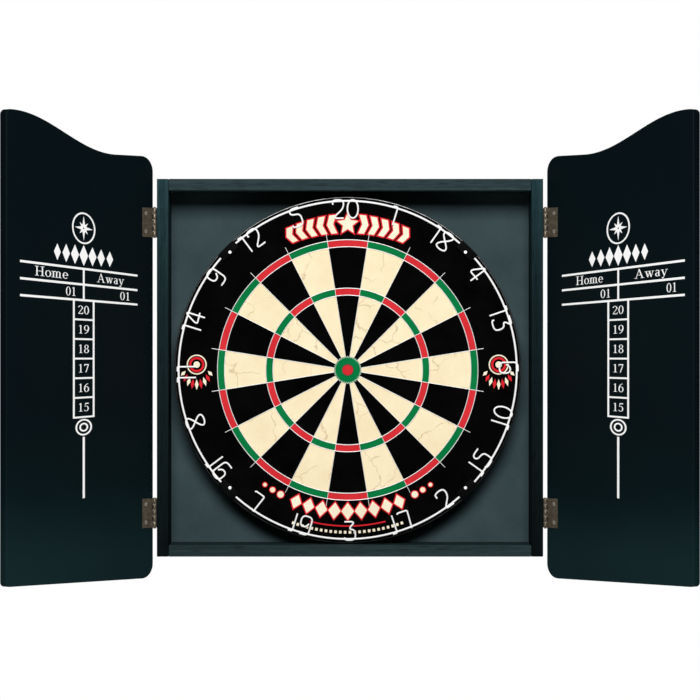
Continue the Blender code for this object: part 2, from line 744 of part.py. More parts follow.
face_frame = ((BOARD_X, 0, BOARD_Z), (math.pi / 2, 0, 0))
build_bracket(add_empty("bracket_frame", *face_frame))
board_axis = add_empty("board_axis", *face_frame)
build_board(board_axis)
build_spider(board_axis)
build_clips(board_axis)
build_board_fixings(board_axis)
build_number_ring(add_empty("number_ring_axis", *face_frame))
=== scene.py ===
import json
import math
import random

import bmesh
import bpy
from mathutils import Matrix, Vector


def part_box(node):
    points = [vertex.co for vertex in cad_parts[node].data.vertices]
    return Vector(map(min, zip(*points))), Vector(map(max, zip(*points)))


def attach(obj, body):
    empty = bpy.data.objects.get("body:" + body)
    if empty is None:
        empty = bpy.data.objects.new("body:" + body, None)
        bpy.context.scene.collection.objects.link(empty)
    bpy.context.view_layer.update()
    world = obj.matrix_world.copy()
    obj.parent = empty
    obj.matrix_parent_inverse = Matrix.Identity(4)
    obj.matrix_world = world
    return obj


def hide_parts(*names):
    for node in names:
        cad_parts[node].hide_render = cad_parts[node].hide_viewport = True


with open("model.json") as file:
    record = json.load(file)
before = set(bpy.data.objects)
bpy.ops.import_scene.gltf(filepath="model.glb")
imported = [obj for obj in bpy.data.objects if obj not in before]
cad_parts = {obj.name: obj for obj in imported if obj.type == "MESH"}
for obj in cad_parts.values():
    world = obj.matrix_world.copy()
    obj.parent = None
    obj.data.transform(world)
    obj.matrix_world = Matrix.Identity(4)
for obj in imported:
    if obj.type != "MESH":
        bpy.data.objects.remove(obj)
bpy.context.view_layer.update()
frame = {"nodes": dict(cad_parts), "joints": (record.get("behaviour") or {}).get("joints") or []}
MM = 0.001


# The room. The cabinet hangs with the middle of its board 1.73 m above a pale matt floor, as the
# rules of the game ask, and is seen from straight in front through a long lens. One large soft
# light stands high in front of it, and two weaker ones light its back and the backs of the doors.
CASE_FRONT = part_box("side_panel_left")[0].y
VIEW_DISTANCE = 4.6
EYE_LEVEL = 23 * MM
LENS = 182.8
FLOOR_LEVEL = -1.73
FLOOR_RADIUS = 2.5
AMBIENT = 0.03

camera_data = bpy.data.cameras.new("camera")
camera_data.lens = LENS
camera_data.sensor_width = 36.0
camera_data.clip_end = 50.0
camera = bpy.data.objects.new("camera", camera_data)
camera.location = (0, CASE_FRONT - VIEW_DISTANCE, EYE_LEVEL)
camera.rotation_euler = (math.pi / 2, 0, 0)
bpy.context.scene.collection.objects.link(camera)
bpy.context.scene.camera = camera
bpy.context.scene.view_settings.view_transform = "Standard"


def add_node(tree, kind, sockets=None, **settings):
    """A shader node with its settings, and with values or other nodes' outputs on its sockets."""
    made = tree.nodes.new("ShaderNode" + kind)
    for key, value in settings.items():
        setattr(made, key, value)
    for key, value in (sockets or {}).items():
        if isinstance(value, bpy.types.NodeSocket):
            tree.links.new(value, made.inputs[key])
        else:
            made.inputs[key].default_value = value
    return made


world = bpy.data.worlds.new("studio")
world.use_nodes = True
sky = world.node_tree
sky.nodes.clear()
path = add_node(sky, "LightPath")
dim = add_node(sky, "Background", {"Color": (0.95, 0.98, 1.0, 1.0), "Strength": AMBIENT})
backdrop = add_node(sky, "Background", {"Color": (1.0, 1.0, 1.0, 1.0), "Strength": 1.0})
both = add_node(
    sky, "MixShader", {0: path.outputs["Is Camera Ray"], 1: dim.outputs[0], 2: backdrop.outputs[0]}
)
add_node(sky, "OutputWorld", {"Surface": both.outputs[0]})
bpy.context.scene.world = world


def add_light(name, place, target, size, watts, colour):
    data = bpy.data.lights.new(name, "AREA")
    data.shape = "RECTANGLE"
    data.size = size[0]
    data.size_y = size[1]
    data.energy = watts
    data.color = colour
    made = bpy.data.objects.new(name, data)
    made.location = place
    made.rotation_euler = (Vector(target) - Vector(place)).to_track_quat("-Z", "Y").to_euler()
    made.visible_camera = False
    bpy.context.scene.collection.objects.link(made)


add_light("key", (0.0, -3.3, 1.4), (0, 0, 0), (1.4, 1.0), 143, (1.0, 0.99, 0.98))
add_light("left_rear", (-1.9, 3.2, 0.7), (0, 0, 0), (1.0, 1.6), 60, (0.9, 0.97, 1.0))
add_light("right_rear", (1.9, 3.2, 0.7), (0, 0, 0), (1.0, 1.6), 60, (0.9, 0.97, 1.0))


def new_finish(name, roughness, specular=0.5, metallic=0.0):
    """A material's name, node tree and shader, ready for its colour."""
    made = bpy.data.materials.new(name)
    made.use_nodes = True
    shader = made.node_tree.nodes["Principled BSDF"]
    shader.inputs["Roughness"].default_value = roughness
    shader.inputs["Specular IOR Level"].default_value = specular
    shader.inputs["Metallic"].default_value = metallic
    return made, made.node_tree, shader


def noise(tree, scales, detail=4.0, rough=0.55, distort=0.0):
    """Noise in metres of the object, with a separate scale along X, Y and Z."""
    place = add_node(tree, "TexCoord")
    stretch = add_node(tree, "Mapping", {"Vector": place.outputs["Object"], "Scale": scales})
    sockets = {"Vector": stretch.outputs[0], "Scale": 1.0, "Detail": detail}
    sockets |= {"Roughness": rough, "Distortion": distort}
    return add_node(tree, "TexNoise", sockets).outputs["Fac"]


def ramp(tree, factor, stops):
    """A colour ramp through (position, colour) stops."""
    made = add_node(tree, "ValToRGB", {"Fac": factor})
    while len(made.color_ramp.elements) < len(stops):
        made.color_ramp.elements.new(0.5)
    for element, (position, colour) in zip(made.color_ramp.elements, stops):
        element.position = position
        element.color = (*colour, 1.0)
    return made.outputs["Color"]


def speckle(tree, shader, scale, *stops, detail=4.0):
    """Colours a surface by even noise through (position, colour) stops."""
    grain = noise(tree, (scale, scale, scale), detail)
    tree.links.new(ramp(tree, grain, stops), shader.inputs["Base Color"])


def scale_range(tree, value, low, high, new_low, new_high):
    sockets = {"Value": value, "From Min": low, "From Max": high, "To Min": new_low, "To Max": new_high}
    return add_node(tree, "MapRange", sockets).outputs[0]


def raise_surface(tree, shader, height, distance, strength=1.0):
    sockets = {"Height": height, "Distance": distance, "Strength": strength}
    tree.links.new(add_node(tree, "Bump", sockets).outputs[0], shader.inputs["Normal"])


floor_paint, tree, shader = new_finish("pale_floor", 0.7, 0.2)
speckle(tree, shader, 2.0, (0.3, (0.84, 0.84, 0.83)), (0.7, (0.88, 0.88, 0.87)))
shape = bmesh.new()
bmesh.ops.create_circle(shape, cap_ends=True, segments=128, radius=FLOOR_RADIUS)
bmesh.ops.translate(shape, verts=shape.verts, vec=(0, 0, FLOOR_LEVEL))
floor_mesh = bpy.data.meshes.new("floor")
shape.to_mesh(floor_mesh)
shape.free()
floor_mesh.materials.append(floor_paint)
floor = bpy.data.objects.new("floor", floor_mesh)
bpy.context.scene.collection.objects.link(floor)


# The case: four butt-jointed panels of fibreboard wrapped in black-stained ash foil, with the grain
# printed and pressed along each panel's length, and a smooth back panel in a lighter slate paper.
def stained_ash(name, along, dark, light, roughness):
    """Black-stained ash, with its grain along that axis."""
    made, tree, shader = new_finish(name, roughness, 0.03)
    axis = "XYZ".index(along)

    def stretched(lengthways, across):
        return tuple(lengthways if number == axis else across for number in range(3))

    bands = noise(tree, stretched(2.2, 95.0), 3.0, 0.5, 0.6)
    streaks = noise(tree, stretched(9.0, 520.0), 4.0, 0.6)
    pores = noise(tree, stretched(38.0, 1900.0), 2.0, 0.5)
    mixed = add_node(tree, "Mix", {0: 0.5, 2: bands, 3: streaks}).outputs[0]
    tone = ramp(tree, mixed, ((0.34, dark), (0.66, light)))
    pits = scale_range(tree, pores, 0.36, 0.46, 0.45, 1.0)
    # On the side panels the colour grows darker towards the bottom and lighter near the top: painted shade
    # and painted light from the lamp above, multiplied with the real pores.
    height = add_node(tree, "SeparateXYZ", {0: add_node(tree, "TexCoord").outputs["Object"]}).outputs["Z"]
    painted_falloff_light = scale_range(tree, height, -0.24, 0.24, 0.5, 1.25) if along == "Z" else 1.0
    painted_falloff_light = add_node(tree, "Math", {0: painted_falloff_light, 1: 2.0}, operation="POWER").outputs[0]
    if along == "Z":
        painted_top_light = scale_range(tree, height, 0.07, 0.245, 1.0, 1.42)
        painted_top_light = add_node(tree, "Math", {0: painted_top_light, 1: 2.0}, operation="POWER").outputs[0]
        painted_falloff_light = add_node(tree, "Math", {0: painted_falloff_light, 1: painted_top_light}, operation="MULTIPLY").outputs[0]
    pores_and_painted_light = add_node(tree, "Math", {0: pits, 1: painted_falloff_light}, operation="MULTIPLY").outputs[0]
    shade = add_node(tree, "Mix", {0: 1.0, 6: tone, 7: pores_and_painted_light}, data_type="RGBA", blend_type="MULTIPLY")
    tree.links.new(shade.outputs[2], shader.inputs["Base Color"])
    sheen = scale_range(tree, streaks, 0.3, 0.7, roughness - 0.08, roughness + 0.1)
    tree.links.new(sheen, shader.inputs["Roughness"])
    raise_surface(tree, shader, pits, 0.00012)
    return made


def paint(node_names, material):
    """Gives those CAD pieces the material."""
    for node_name in node_names:
        data = frame["nodes"][node_name].data
        data.materials.clear()
        data.materials.append(material)


# One ash finish in three tones: the top panel lighter and the side panels darker than the bottom panel, as
# painted light and painted shade from the lamp above.
paint(
    ("side_panel_left", "side_panel_right"),
    stained_ash("ash_side", "Z", (0.002, 0.0075, 0.009), (0.0085, 0.0215, 0.0245), 0.55),
)
paint(("top_panel",), stained_ash("ash_top", "X", (0.015, 0.029, 0.033), (0.032, 0.055, 0.062), 0.55))
paint(("bottom_panel",), stained_ash("ash_bottom", "X", (0.011, 0.022, 0.024), (0.024, 0.042, 0.046), 0.55))
slate_paper, tree, shader = new_finish("slate_paper", 0.7, 0.04)
mottle = noise(tree, (11.0, 11.0, 11.0), 6.0, 0.6)
tooth = noise(tree, (650.0, 650.0, 650.0), 3.0)
mixed = add_node(tree, "Mix", {0: 0.3, 2: mottle, 3: tooth}).outputs[0]
slate = ramp(tree, mixed, ((0.36, (0.028, 0.048, 0.053)), (0.62, (0.044, 0.069, 0.076))))
tree.links.new(slate, shader.inputs["Base Color"])
raise_surface(tree, shader, tooth, 0.00003)
paint(("back_panel",), slate_paper)


# The doors: fibreboard slabs 12.5 mm thick under black satin lacquer, with softened edges and a top
# that rises in one wave towards the free side. They are made shut and then swung open on their pins.
DOOR_THICKNESS = 12.5 * MM
DOOR_FACE = -2.6 * MM  # the inner face, from the pin's axis, when the door is shut
HINGE_EDGE = 0.2 * MM  # from the pin's axis
DOOR_SPLIT = 2.0 * MM
CREST_FLAT = 8 * MM
CREST_RUN = 187 * MM
CREST_DROP = 49.5 * MM
DOOR_EDGE_ROUND = 1.0 * MM
SIDES = {"left": -1, "right": 1}

pins = {}
openings = {}
for joint in frame["joints"]:
    if joint["name"].startswith("door_"):
        side_name = joint["name"].split("_")[1]
        pins[side_name] = Vector(joint["pos_m"])
        openings[side_name] = math.radians(joint["range_deg"][1])


def door_place(side_name):
    """From a door's own frame, shut and with its pin on Z, to where it stands."""
    turn = Matrix.Rotation(SIDES[side_name] * openings[side_name], 4, "Z")
    return Matrix.Translation(pins[side_name]) @ turn


def arc(centre_x, centre_y, radius_x, radius_y, start, end, steps):
    """Points along part of an ellipse, from one angle in degrees to another."""
    found = []
    for step in range(steps + 1):
        angle = math.radians(start + (end - start) * step / steps)
        found.append((centre_x + radius_x * math.cos(angle), centre_y + radius_y * math.sin(angle)))
    return found


def piece(name, shape, finishes, body, stands_for=(), smooth=35.0):
    """Makes the bmesh, already in its place, an object that rides on that body."""
    data = bpy.data.meshes.new(name)
    shape.to_mesh(data)
    shape.free()
    for made_of in finishes:
        data.materials.append(made_of)
    data.polygons.foreach_set("use_smooth", [True] * len(data.polygons))
    data.set_sharp_from_angle(angle=math.radians(smooth))
    made = bpy.data.objects.new(name, data)
    bpy.context.scene.collection.objects.link(made)
    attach(made, body)
    if stands_for:
        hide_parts(*stands_for)
    return made


def soften(shape, width, segments=2, least=40.0):
    """Rounds every edge that turns by more than that many degrees."""
    sharp = [edge for edge in shape.edges if edge.calc_face_angle(0.0) > math.radians(least)]
    bmesh.ops.bevel(
        shape,
        geom=sharp,
        offset=width,
        affect="EDGES",
        segments=segments,
        profile=0.5,
        material=-1,
        clamp_overlap=True,
    )


def close_up(shape, within=0.01 * MM):
    bmesh.ops.remove_doubles(shape, verts=shape.verts, dist=within)
    bmesh.ops.recalc_face_normals(shape, faces=shape.faces)


def slab(shape, outline, low, high):
    """A flat outline of (x, z) points made a plate between two depths y."""
    corners = [shape.verts.new((x, low, z)) for x, z in outline]
    flat = shape.faces.new(corners)
    grown = bmesh.ops.extrude_face_region(shape, geom=[flat])["geom"]
    raised = [part for part in grown if isinstance(part, bmesh.types.BMVert)]
    bmesh.ops.translate(shape, verts=raised, vec=(0, high - low, 0))


def door_outline(side_name):
    """Points round a door in its own frame, from the free edge over the top to the hinge edge."""
    low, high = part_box(f"door_{side_name}")
    free_edge = abs(pins[side_name].x) - DOOR_SPLIT / 2
    width = free_edge - HINGE_EDGE
    top = high.z
    bottom = low.z
    corner = {"free_top": 7 * MM, "hinge_top": 20 * MM, "hinge_bottom": 19 * MM, "free_bottom": 6 * MM}
    round_by = corner["free_top"]
    found = arc(round_by, top - round_by, round_by, round_by, 180, 90, 8)
    for step in range(41):
        share = step / 40
        along = CREST_FLAT + (CREST_RUN - CREST_FLAT) * share
        found.append((along, top - CREST_DROP / 2 * (1 - math.cos(math.pi * share))))
    shoulder = top - CREST_DROP
    size = corner["hinge_top"]
    found += arc(width - size, shoulder - size, size, size, 90, 0, 10)
    size = corner["hinge_bottom"]
    found += arc(width - size, bottom + size, size, size, 0, -90, 10)
    size = corner["free_bottom"]
    found += arc(size, bottom + size, size, size, -90, -180, 8)
    return [(-SIDES[side_name] * (free_edge - along), height) for along, height in found]


lacquer, tree, shader = new_finish("black_satin_lacquer", 0.42, 0.05)
cloud = noise(tree, (3.0, 3.0, 4.0), 3.0)
height = add_node(tree, "SeparateXYZ", {0: add_node(tree, "TexCoord").outputs["Object"]}).outputs["Z"]
# The lower part of each door is painted lighter, mixed with a random cloud: painted light, as from the floor
# below.
foot = scale_range(tree, height, -0.24, -0.06, 1.0, 0.0)
cloud_and_floor_light = add_node(tree, "Mix", {0: 0.55, 2: cloud, 3: foot}).outputs[0]
tree.links.new(
    ramp(
        tree,
        cloud_and_floor_light,
        (
            (0.2, (0.0022, 0.0056, 0.0074)),
            (0.5, (0.0026, 0.0082, 0.0100)),
            (1.0, (0.0095, 0.0275, 0.0310)),
        ),
    ),
    shader.inputs["Base Color"],
)
orange_peel = noise(tree, (420.0, 420.0, 420.0), 2.0)
raise_surface(tree, shader, orange_peel, 0.00003)
tree.links.new(
    scale_range(tree, noise(tree, (14.0, 14.0, 14.0), 5.0), 0.3, 0.7, 0.38, 0.5), shader.inputs["Roughness"]
)

for side_name in SIDES:
    shape = bmesh.new()
    slab(shape, door_outline(side_name), DOOR_FACE - DOOR_THICKNESS, DOOR_FACE)
    close_up(shape)
    soften(shape, DOOR_EDGE_ROUND, 3)
    bmesh.ops.transform(shape, matrix=door_place(side_name), verts=shape.verts)
    piece(f"{side_name}_door_slab", shape, [lacquer], f"door_{side_name}", [f"door_{side_name}"])


# The scoreboards: one pass of white ink screened on each door's inner face. It has two headed
# columns, a ladder of six numbers down to the ringed bull, and a plain emblem over them.
INK_DEPTH = 0.08 * MM
WIDEN = 1.35  # the print is set wide, so that it reads square on an open door
PRINT_CENTRE = {"left": 121.7 * MM, "right": 125.1 * MM}  # from the pin's axis
FREE_HALF = {"left": 107.5 * MM, "right": 112.1 * MM}
HINGE_HALF = {"left": 93.5 * MM, "right": 98.0 * MM}
FAN = 0.67  # how much taller the print grows towards the free edge, per metre
FAN_LEVEL = 11.6 * MM
HEAD_LINES = (126.0 * MM, 106.0 * MM, 86.2 * MM)
HEAD_LINE = 2.7 * MM
LEVEL_LINE = 2.2 * MM
UPRIGHT_LINE = 3.0 * MM
BOX_HALF = 17 * MM
BOX_PITCH = 24.7 * MM
LADDER = ("20", "19", "18", "17", "16", "15")
BULL_HEIGHT = -75 * MM

ink, tree, shader = new_finish("white_ink", 0.6, 0.3)
speckle(tree, shader, 900.0, (0.25, (0.84, 0.87, 0.88)), (0.5, (0.97, 0.98, 0.98)), detail=3.0)


class Print:
    """Flat shapes of ink in a plane, with x to the reader's right, y up and z out of the surface."""

    def __init__(self):
        self.shape = bmesh.new()
        self.layer = 0

    def fill(self, outline):
        """Each shape is a hair thicker than the one before, so that no two share a surface."""
        self.layer = (self.layer + 1) % 12
        corners = [self.shape.verts.new((x, y, 0)) for x, y in outline]
        flat = self.shape.faces.new(corners)
        grown = bmesh.ops.extrude_face_region(self.shape, geom=[flat])["geom"]
        raised = [part for part in grown if isinstance(part, bmesh.types.BMVert)]
        lift = INK_DEPTH * (1 + 0.04 * self.layer)
        bmesh.ops.translate(self.shape, verts=raised, vec=(0, 0, lift))

    def bar(self, left, low, right, high):
        self.fill([(left, low), (right, low), (right, high), (left, high)])

    def line(self, one, two, width):
        start = Vector(one)
        run = Vector(two) - start
        off = Vector((-run.y, run.x)).normalized() * width / 2
        far = start + run
        self.fill([tuple(point) for point in (start + off, start - off, far - off, far + off)])

    def bow(self, centre, radii, weights, start=0.0, end=360.0, steps=20):
        """Part of an oval stroke: weights are its thickness at the sides and at the top."""
        outer = arc(*centre, *radii, start, end, steps)
        inner = arc(*centre, radii[0] - weights[0], radii[1] - weights[1], start, end, steps)
        for number in range(steps):
            self.fill([outer[number], outer[number + 1], inner[number + 1], inner[number]])

    def disc(self, centre, radii, steps=20):
        self.fill(arc(*centre, *radii, 0, 360, steps)[:-1])


THICK = 0.108
THIN = 0.045


def serif(draw, x, y, wide=0.36):
    draw.bar(x - wide / 2, y - THIN / 2, x + wide / 2, y + THIN / 2)


def stem(draw, x, low, high, serifs=(True, True)):
    draw.bar(x - THICK / 2, low, x + THICK / 2, high)
    for wanted, end in zip(serifs, (low + THIN / 2, high - THIN / 2)):
        if wanted:
            serif(draw, x, end)


def letter_upper_h(draw):
    stem(draw, 0.14, 0, 1)
    stem(draw, 0.64, 0, 1)
    draw.bar(0.14, 0.48, 0.64, 0.48 + THIN)
    return 0.84


def letter_upper_a(draw):
    draw.line((0.13, 0.02), (0.42, 0.99), THIN)
    draw.line((0.40, 0.99), (0.72, 0.02), THICK)
    draw.bar(0.22, 0.32, 0.62, 0.32 + THIN)
    serif(draw, 0.12, THIN / 2, 0.28)
    serif(draw, 0.72, THIN / 2, 0.32)
    return 0.90


def letter_o(draw):
    draw.bow((0.29, 0.33), (0.27, 0.35), (THICK, THIN))
    return 0.60


def letter_m(draw):
    stem(draw, 0.14, 0, 0.66, (True, False))
    serif(draw, 0.09, 0.63, 0.22)
    for x in (0.24, 0.54):
        draw.bow((x + 0.06, 0.46), (0.18 + THIN / 2, 0.22), (THICK, THIN), 0, 140, 9)
        stem(draw, x + 0.19, 0, 0.46, (True, False))
    return 0.93


def letter_e(draw):
    draw.bow((0.28, 0.33), (0.25, 0.35), (THICK, THIN), 0, 318, 18)
    draw.bar(0.08, 0.33, 0.53, 0.33 + THIN)
    return 0.56


def letter_w(draw):
    for x in (0.12, 0.42):
        draw.line((x, 0.65), (x + 0.17, 0.02), THICK)
        draw.line((x + 0.17, 0.02), (x + 0.33, 0.65), THIN)
        serif(draw, x, 0.63, 0.26)
    serif(draw, 0.75, 0.63, 0.22)
    return 0.88


def letter_a(draw):
    draw.bow((0.24, 0.47), (0.20, 0.21), (THICK, THIN), 0, 150, 10)
    stem(draw, 0.37, 0.04, 0.47, (False, False))
    draw.bow((0.23, 0.20), (0.19, 0.21), (THICK, THIN), 30, 330, 16)
    draw.line((0.37, 0.06), (0.50, 0.04), THIN)
    return 0.52


def letter_y(draw):
    draw.line((0.12, 0.65), (0.33, 0.02), THICK)
    draw.line((0.54, 0.65), (0.24, -0.22), THIN)
    draw.disc((0.18, -0.21), (0.08, 0.07), 10)
    serif(draw, 0.13, 0.63, 0.26)
    serif(draw, 0.53, 0.63, 0.22)
    return 0.62


def digit_0(draw):
    draw.bow((0.29, 0.48), (0.26, 0.50), (THICK, THIN))
    return 0.58


def digit_1(draw):
    stem(draw, 0.30, 0, 0.97, (True, False))
    draw.line((0.13, 0.84), (0.30, 0.95), THIN)
    return 0.58


def digit_2(draw):
    draw.bow((0.27, 0.70), (0.25, 0.28), (THICK, THIN), -20, 165, 12)
    draw.line((0.44, 0.63), (0.07, 0.05), THIN * 1.4)
    draw.bar(0.05, 0, 0.52, THIN * 1.8)
    draw.line((0.50, 0.02), (0.54, 0.22), THIN)
    return 0.58


def digit_5(draw):
    draw.bow((0.25, 0.31), (0.27, 0.32), (THICK, THIN), -150, 118, 18)
    draw.line((0.13, 0.55), (0.17, 0.94), THIN)
    draw.bar(0.16, 0.86, 0.51, 0.97)
    return 0.58


def digit_6(draw):
    draw.bow((0.29, 0.31), (0.26, 0.33), (THICK, THIN))
    draw.bow((0.50, 0.36), (0.47, 0.62), (THICK, THIN), 95, 180, 10)
    return 0.58


def digit_7(draw):
    draw.bar(0.06, 0.86, 0.53, 0.97)
    draw.line((0.49, 0.90), (0.22, 0), THICK * 0.75)
    draw.line((0.08, 0.74), (0.06, 0.92), THIN)
    return 0.58


def digit_8(draw):
    draw.bow((0.29, 0.25), (0.25, 0.27), (THICK, THIN))
    draw.bow((0.29, 0.73), (0.21, 0.25), (THICK * 0.85, THIN))
    return 0.58


def digit_9(draw):
    draw.bow((0.29, 0.66), (0.26, 0.33), (THICK, THIN))
    draw.bow((0.08, 0.61), (0.47, 0.62), (THICK, THIN), -85, 0, 10)
    return 0.58


GLYPHS = {
    "H": letter_upper_h,
    "A": letter_upper_a,
    "o": letter_o,
    "m": letter_m,
    "e": letter_e,
    "w": letter_w,
    "a": letter_a,
    "y": letter_y,
    "0": digit_0,
    "1": digit_1,
    "2": digit_2,
    "5": digit_5,
    "6": digit_6,
    "7": digit_7,
    "8": digit_8,
    "9": digit_9,
}


def typeset(ground, words, centre, height, widen=1.0):
    """Sets the words in capitals of that height, centred on that point."""
    line = Print()
    cursor = 0.0
    for character in words:
        before = set(line.shape.verts)
        advance = GLYPHS[character](line)
        fresh = [vert for vert in line.shape.verts if vert not in before]
        bmesh.ops.translate(line.shape, verts=fresh, vec=(cursor, 0, 0))
        cursor += advance + 0.03
    for vert in line.shape.verts:
        vert.co.x = centre[0] + (vert.co.x - cursor / 2) * height * widen
        vert.co.y = centre[1] + (vert.co.y - 0.48) * height
    pour(line.shape, ground.shape)


def pour(source, target):
    """Copies one bmesh into another and frees it."""
    carrier = bpy.data.meshes.new("carrier")
    source.to_mesh(carrier)
    source.free()
    target.from_mesh(carrier)
    bpy.data.meshes.remove(carrier)


def emblem(draw, middle):
    """A plain compass star in a ring, over a band of bold lozenges."""
    draw.bow((0, middle), (20 * MM, 20 * MM), (2.4 * MM, 2.0 * MM), 0, 360, 40)
    for number in range(8):
        angle = math.radians(45 * number)
        reach = (15.5 if number % 2 == 0 else 10.0) * MM
        tip = (math.sin(angle) * reach, middle + math.cos(angle) * reach)
        waist = 2.6 * MM
        across = (math.cos(angle) * waist, -math.sin(angle) * waist)
        base = (tip[0] * 0.1, middle + (tip[1] - middle) * 0.1)
        left = (base[0] - across[0], base[1] - across[1])
        right = (base[0] + across[0], base[1] + across[1])
        draw.fill([left, right, tip])
    level = middle - 34.5 * MM
    for number in range(-3, 4):
        half = (13.2 - abs(number)) * MM
        x = number * 15.0 * MM
        draw.fill([(x - half * 0.56, level), (x, level - half), (x + half * 0.56, level), (x, level + half)])


def scoreboard(side_name, side):
    draw = Print()
    halves = (FREE_HALF[side_name], HINGE_HALF[side_name])[::-side]
    left = -halves[0]
    right = halves[1]
    for level in HEAD_LINES:
        draw.bar(left, level - HEAD_LINE / 2, right, level + HEAD_LINE / 2)
    draw.bar(-UPRIGHT_LINE / 2, HEAD_LINES[2], UPRIGHT_LINE / 2, HEAD_LINES[0])
    heading = (HEAD_LINES[0] + HEAD_LINES[1]) / 2 + 0.6 * MM
    scores = (HEAD_LINES[1] + HEAD_LINES[2]) / 2
    for words, low, high in (("Home", left, 0), ("Away", 0, right)):
        stretch = 1.62 if high - low == FREE_HALF[side_name] else 1.36
        typeset(draw, words, ((low + high) / 2, heading), 11.4 * MM, stretch)
        typeset(draw, "01", (high - 21.5 * MM, scores), 11.2 * MM, WIDEN)
    for number, score in enumerate(LADDER):
        top = HEAD_LINES[2] - BOX_PITCH * number
        level = top - BOX_PITCH
        draw.bar(-BOX_HALF, level - LEVEL_LINE / 2, BOX_HALF, level + LEVEL_LINE / 2)
        typeset(draw, score, (0, top - BOX_PITCH / 2), 10.8 * MM, WIDEN * 1.12)
    foot = HEAD_LINES[2] - BOX_PITCH * len(LADDER)
    for edge in (-BOX_HALF, BOX_HALF):
        draw.bar(edge - UPRIGHT_LINE / 2, foot - LEVEL_LINE / 2, edge + UPRIGHT_LINE / 2, HEAD_LINES[2])
    for size in (10.5 * MM, 5.6 * MM):
        draw.bow((0, BULL_HEIGHT), (size * WIDEN, size), (2.8 * MM, 2.0 * MM), 0, 360, 40)
    draw.bar(-UPRIGHT_LINE * 0.6, -165.1 * MM, UPRIGHT_LINE * 0.6, -87.2 * MM)
    emblem(draw, 177.5 * MM)
    for vert in draw.shape.verts:
        vert.co.y = FAN_LEVEL + (vert.co.y - FAN_LEVEL) * (1 + FAN * side * vert.co.x)
    return draw.shape


# Turns a print's x, y and z to a shut door's -x, z and y: its inner face looks along +y.
FACE_INWARD = Matrix(((-1, 0, 0, 0), (0, 0, 1, 0), (0, 1, 0, 0), (0, 0, 0, 1)))

for side_name, side in SIDES.items():
    shape = scoreboard(side_name, side)
    on_door = Matrix.Translation((-side * PRINT_CENTRE[side_name], DOOR_FACE + 0.01 * MM, 0)) @ FACE_INWARD
    bmesh.ops.transform(shape, matrix=door_place(side_name) @ on_door, verts=shape.verts)
    bmesh.ops.recalc_face_normals(shape, faces=shape.faces)
    piece(f"{side_name}_scoreboard_print", shape, [ink], f"door_{side_name}")


# The hinges: pressed steel butts, bronzed, with five rolled knuckles on a headed pin. One leaf is
# screwed to the outside of the case and the other to the inner face of the door.
bronze, tree, shader = new_finish("bronzed_steel", 0.42, 0.5, 0.6)
wear = noise(tree, (260.0, 260.0, 260.0), 5.0, 0.65)
tree.links.new(
    ramp(
        tree,
        wear,
        ((0.3, (0.09, 0.073, 0.050)), (0.55, (0.145, 0.120, 0.086)), (0.72, (0.26, 0.22, 0.165))),
    ),
    shader.inputs["Base Color"],
)
raise_surface(tree, shader, noise(tree, (1500.0, 1500.0, 1500.0), 2.0), 0.00002)
zinc, tree, shader = new_finish("zinc_screw", 0.34, 0.5, 0.6)
speckle(tree, shader, 700.0, (0.3, (0.42, 0.40, 0.36)), (0.7, (0.70, 0.68, 0.63)), detail=3.0)
# A dark finish for the screws' cross recesses: painted shade, since the recess is not cut.
recess_shade, tree, shader = new_finish("painted_recess_shade", 0.7, 0.2, 0.4)
speckle(tree, shader, 900.0, (0.3, (0.02, 0.018, 0.015)), (0.7, (0.05, 0.045, 0.04)))

KNUCKLES = 5
KNUCKLE_RADIUS = 2.4 * MM
LEAF_WIDTH = 20.2 * MM
LEAF_THICKNESS = 1.2 * MM
SCREW_FROM_PIN = 14.2 * MM
SCREW_SPREAD = 11.8 * MM
SCREW_HEAD = 2.45 * MM


def add_rod(shape, start, end, radius, sides, end_radius=None):
    """A cylinder, or a cone where the end's radius differs, between two points."""
    one = Vector(start)
    run = Vector(end) - one
    turn = run.to_track_quat("Z", "Y").to_matrix().to_4x4()
    return bmesh.ops.create_cone(
        shape,
        cap_ends=True,
        segments=sides,
        radius1=radius,
        radius2=radius if end_radius is None else end_radius,
        depth=run.length,
        matrix=Matrix.Translation(one + run / 2) @ turn,
    )["verts"]


def leaf_plate(rows, length):
    """A leaf's plate, comb-edged for its own knuckles: x from the pin, z up, y its thickness."""
    pitch = length / KNUCKLES
    gap = 0.15 * MM
    clear = KNUCKLE_RADIUS + 0.6 * MM
    outline = [(LEAF_WIDTH, length / 2), (LEAF_WIDTH, -length / 2)]
    for row in range(KNUCKLES):
        low = -length / 2 + row * pitch
        near = 0 if row in rows else clear
        own = gap if row in rows else -gap
        start = -length / 2 if row == 0 else low + own
        end = length / 2 if row == KNUCKLES - 1 else low + pitch - own
        outline += [(near, start), (near, end)]
    shape = bmesh.new()
    slab(shape, outline, 0, LEAF_THICKNESS)
    close_up(shape)
    soften(shape, 0.25 * MM, 2)
    return shape


def hinge_leaf(rows, length, offset):
    """A leaf in its own frame, with its outer surface that far from the pin's axis along y."""
    shape = leaf_plate(rows, length)
    bmesh.ops.translate(shape, verts=shape.verts, vec=(0, -offset - LEAF_THICKNESS, 0))
    pitch = length / KNUCKLES
    for row in rows:
        low = -length / 2 + row * pitch + 0.2 * MM
        high = low + pitch - 0.4 * MM
        knuckle = bmesh.new()
        add_rod(knuckle, (0, 0, low), (0, 0, high), KNUCKLE_RADIUS, 28)
        soften(knuckle, 0.3 * MM, 2, 60)
        pour(knuckle, shape)
    return shape


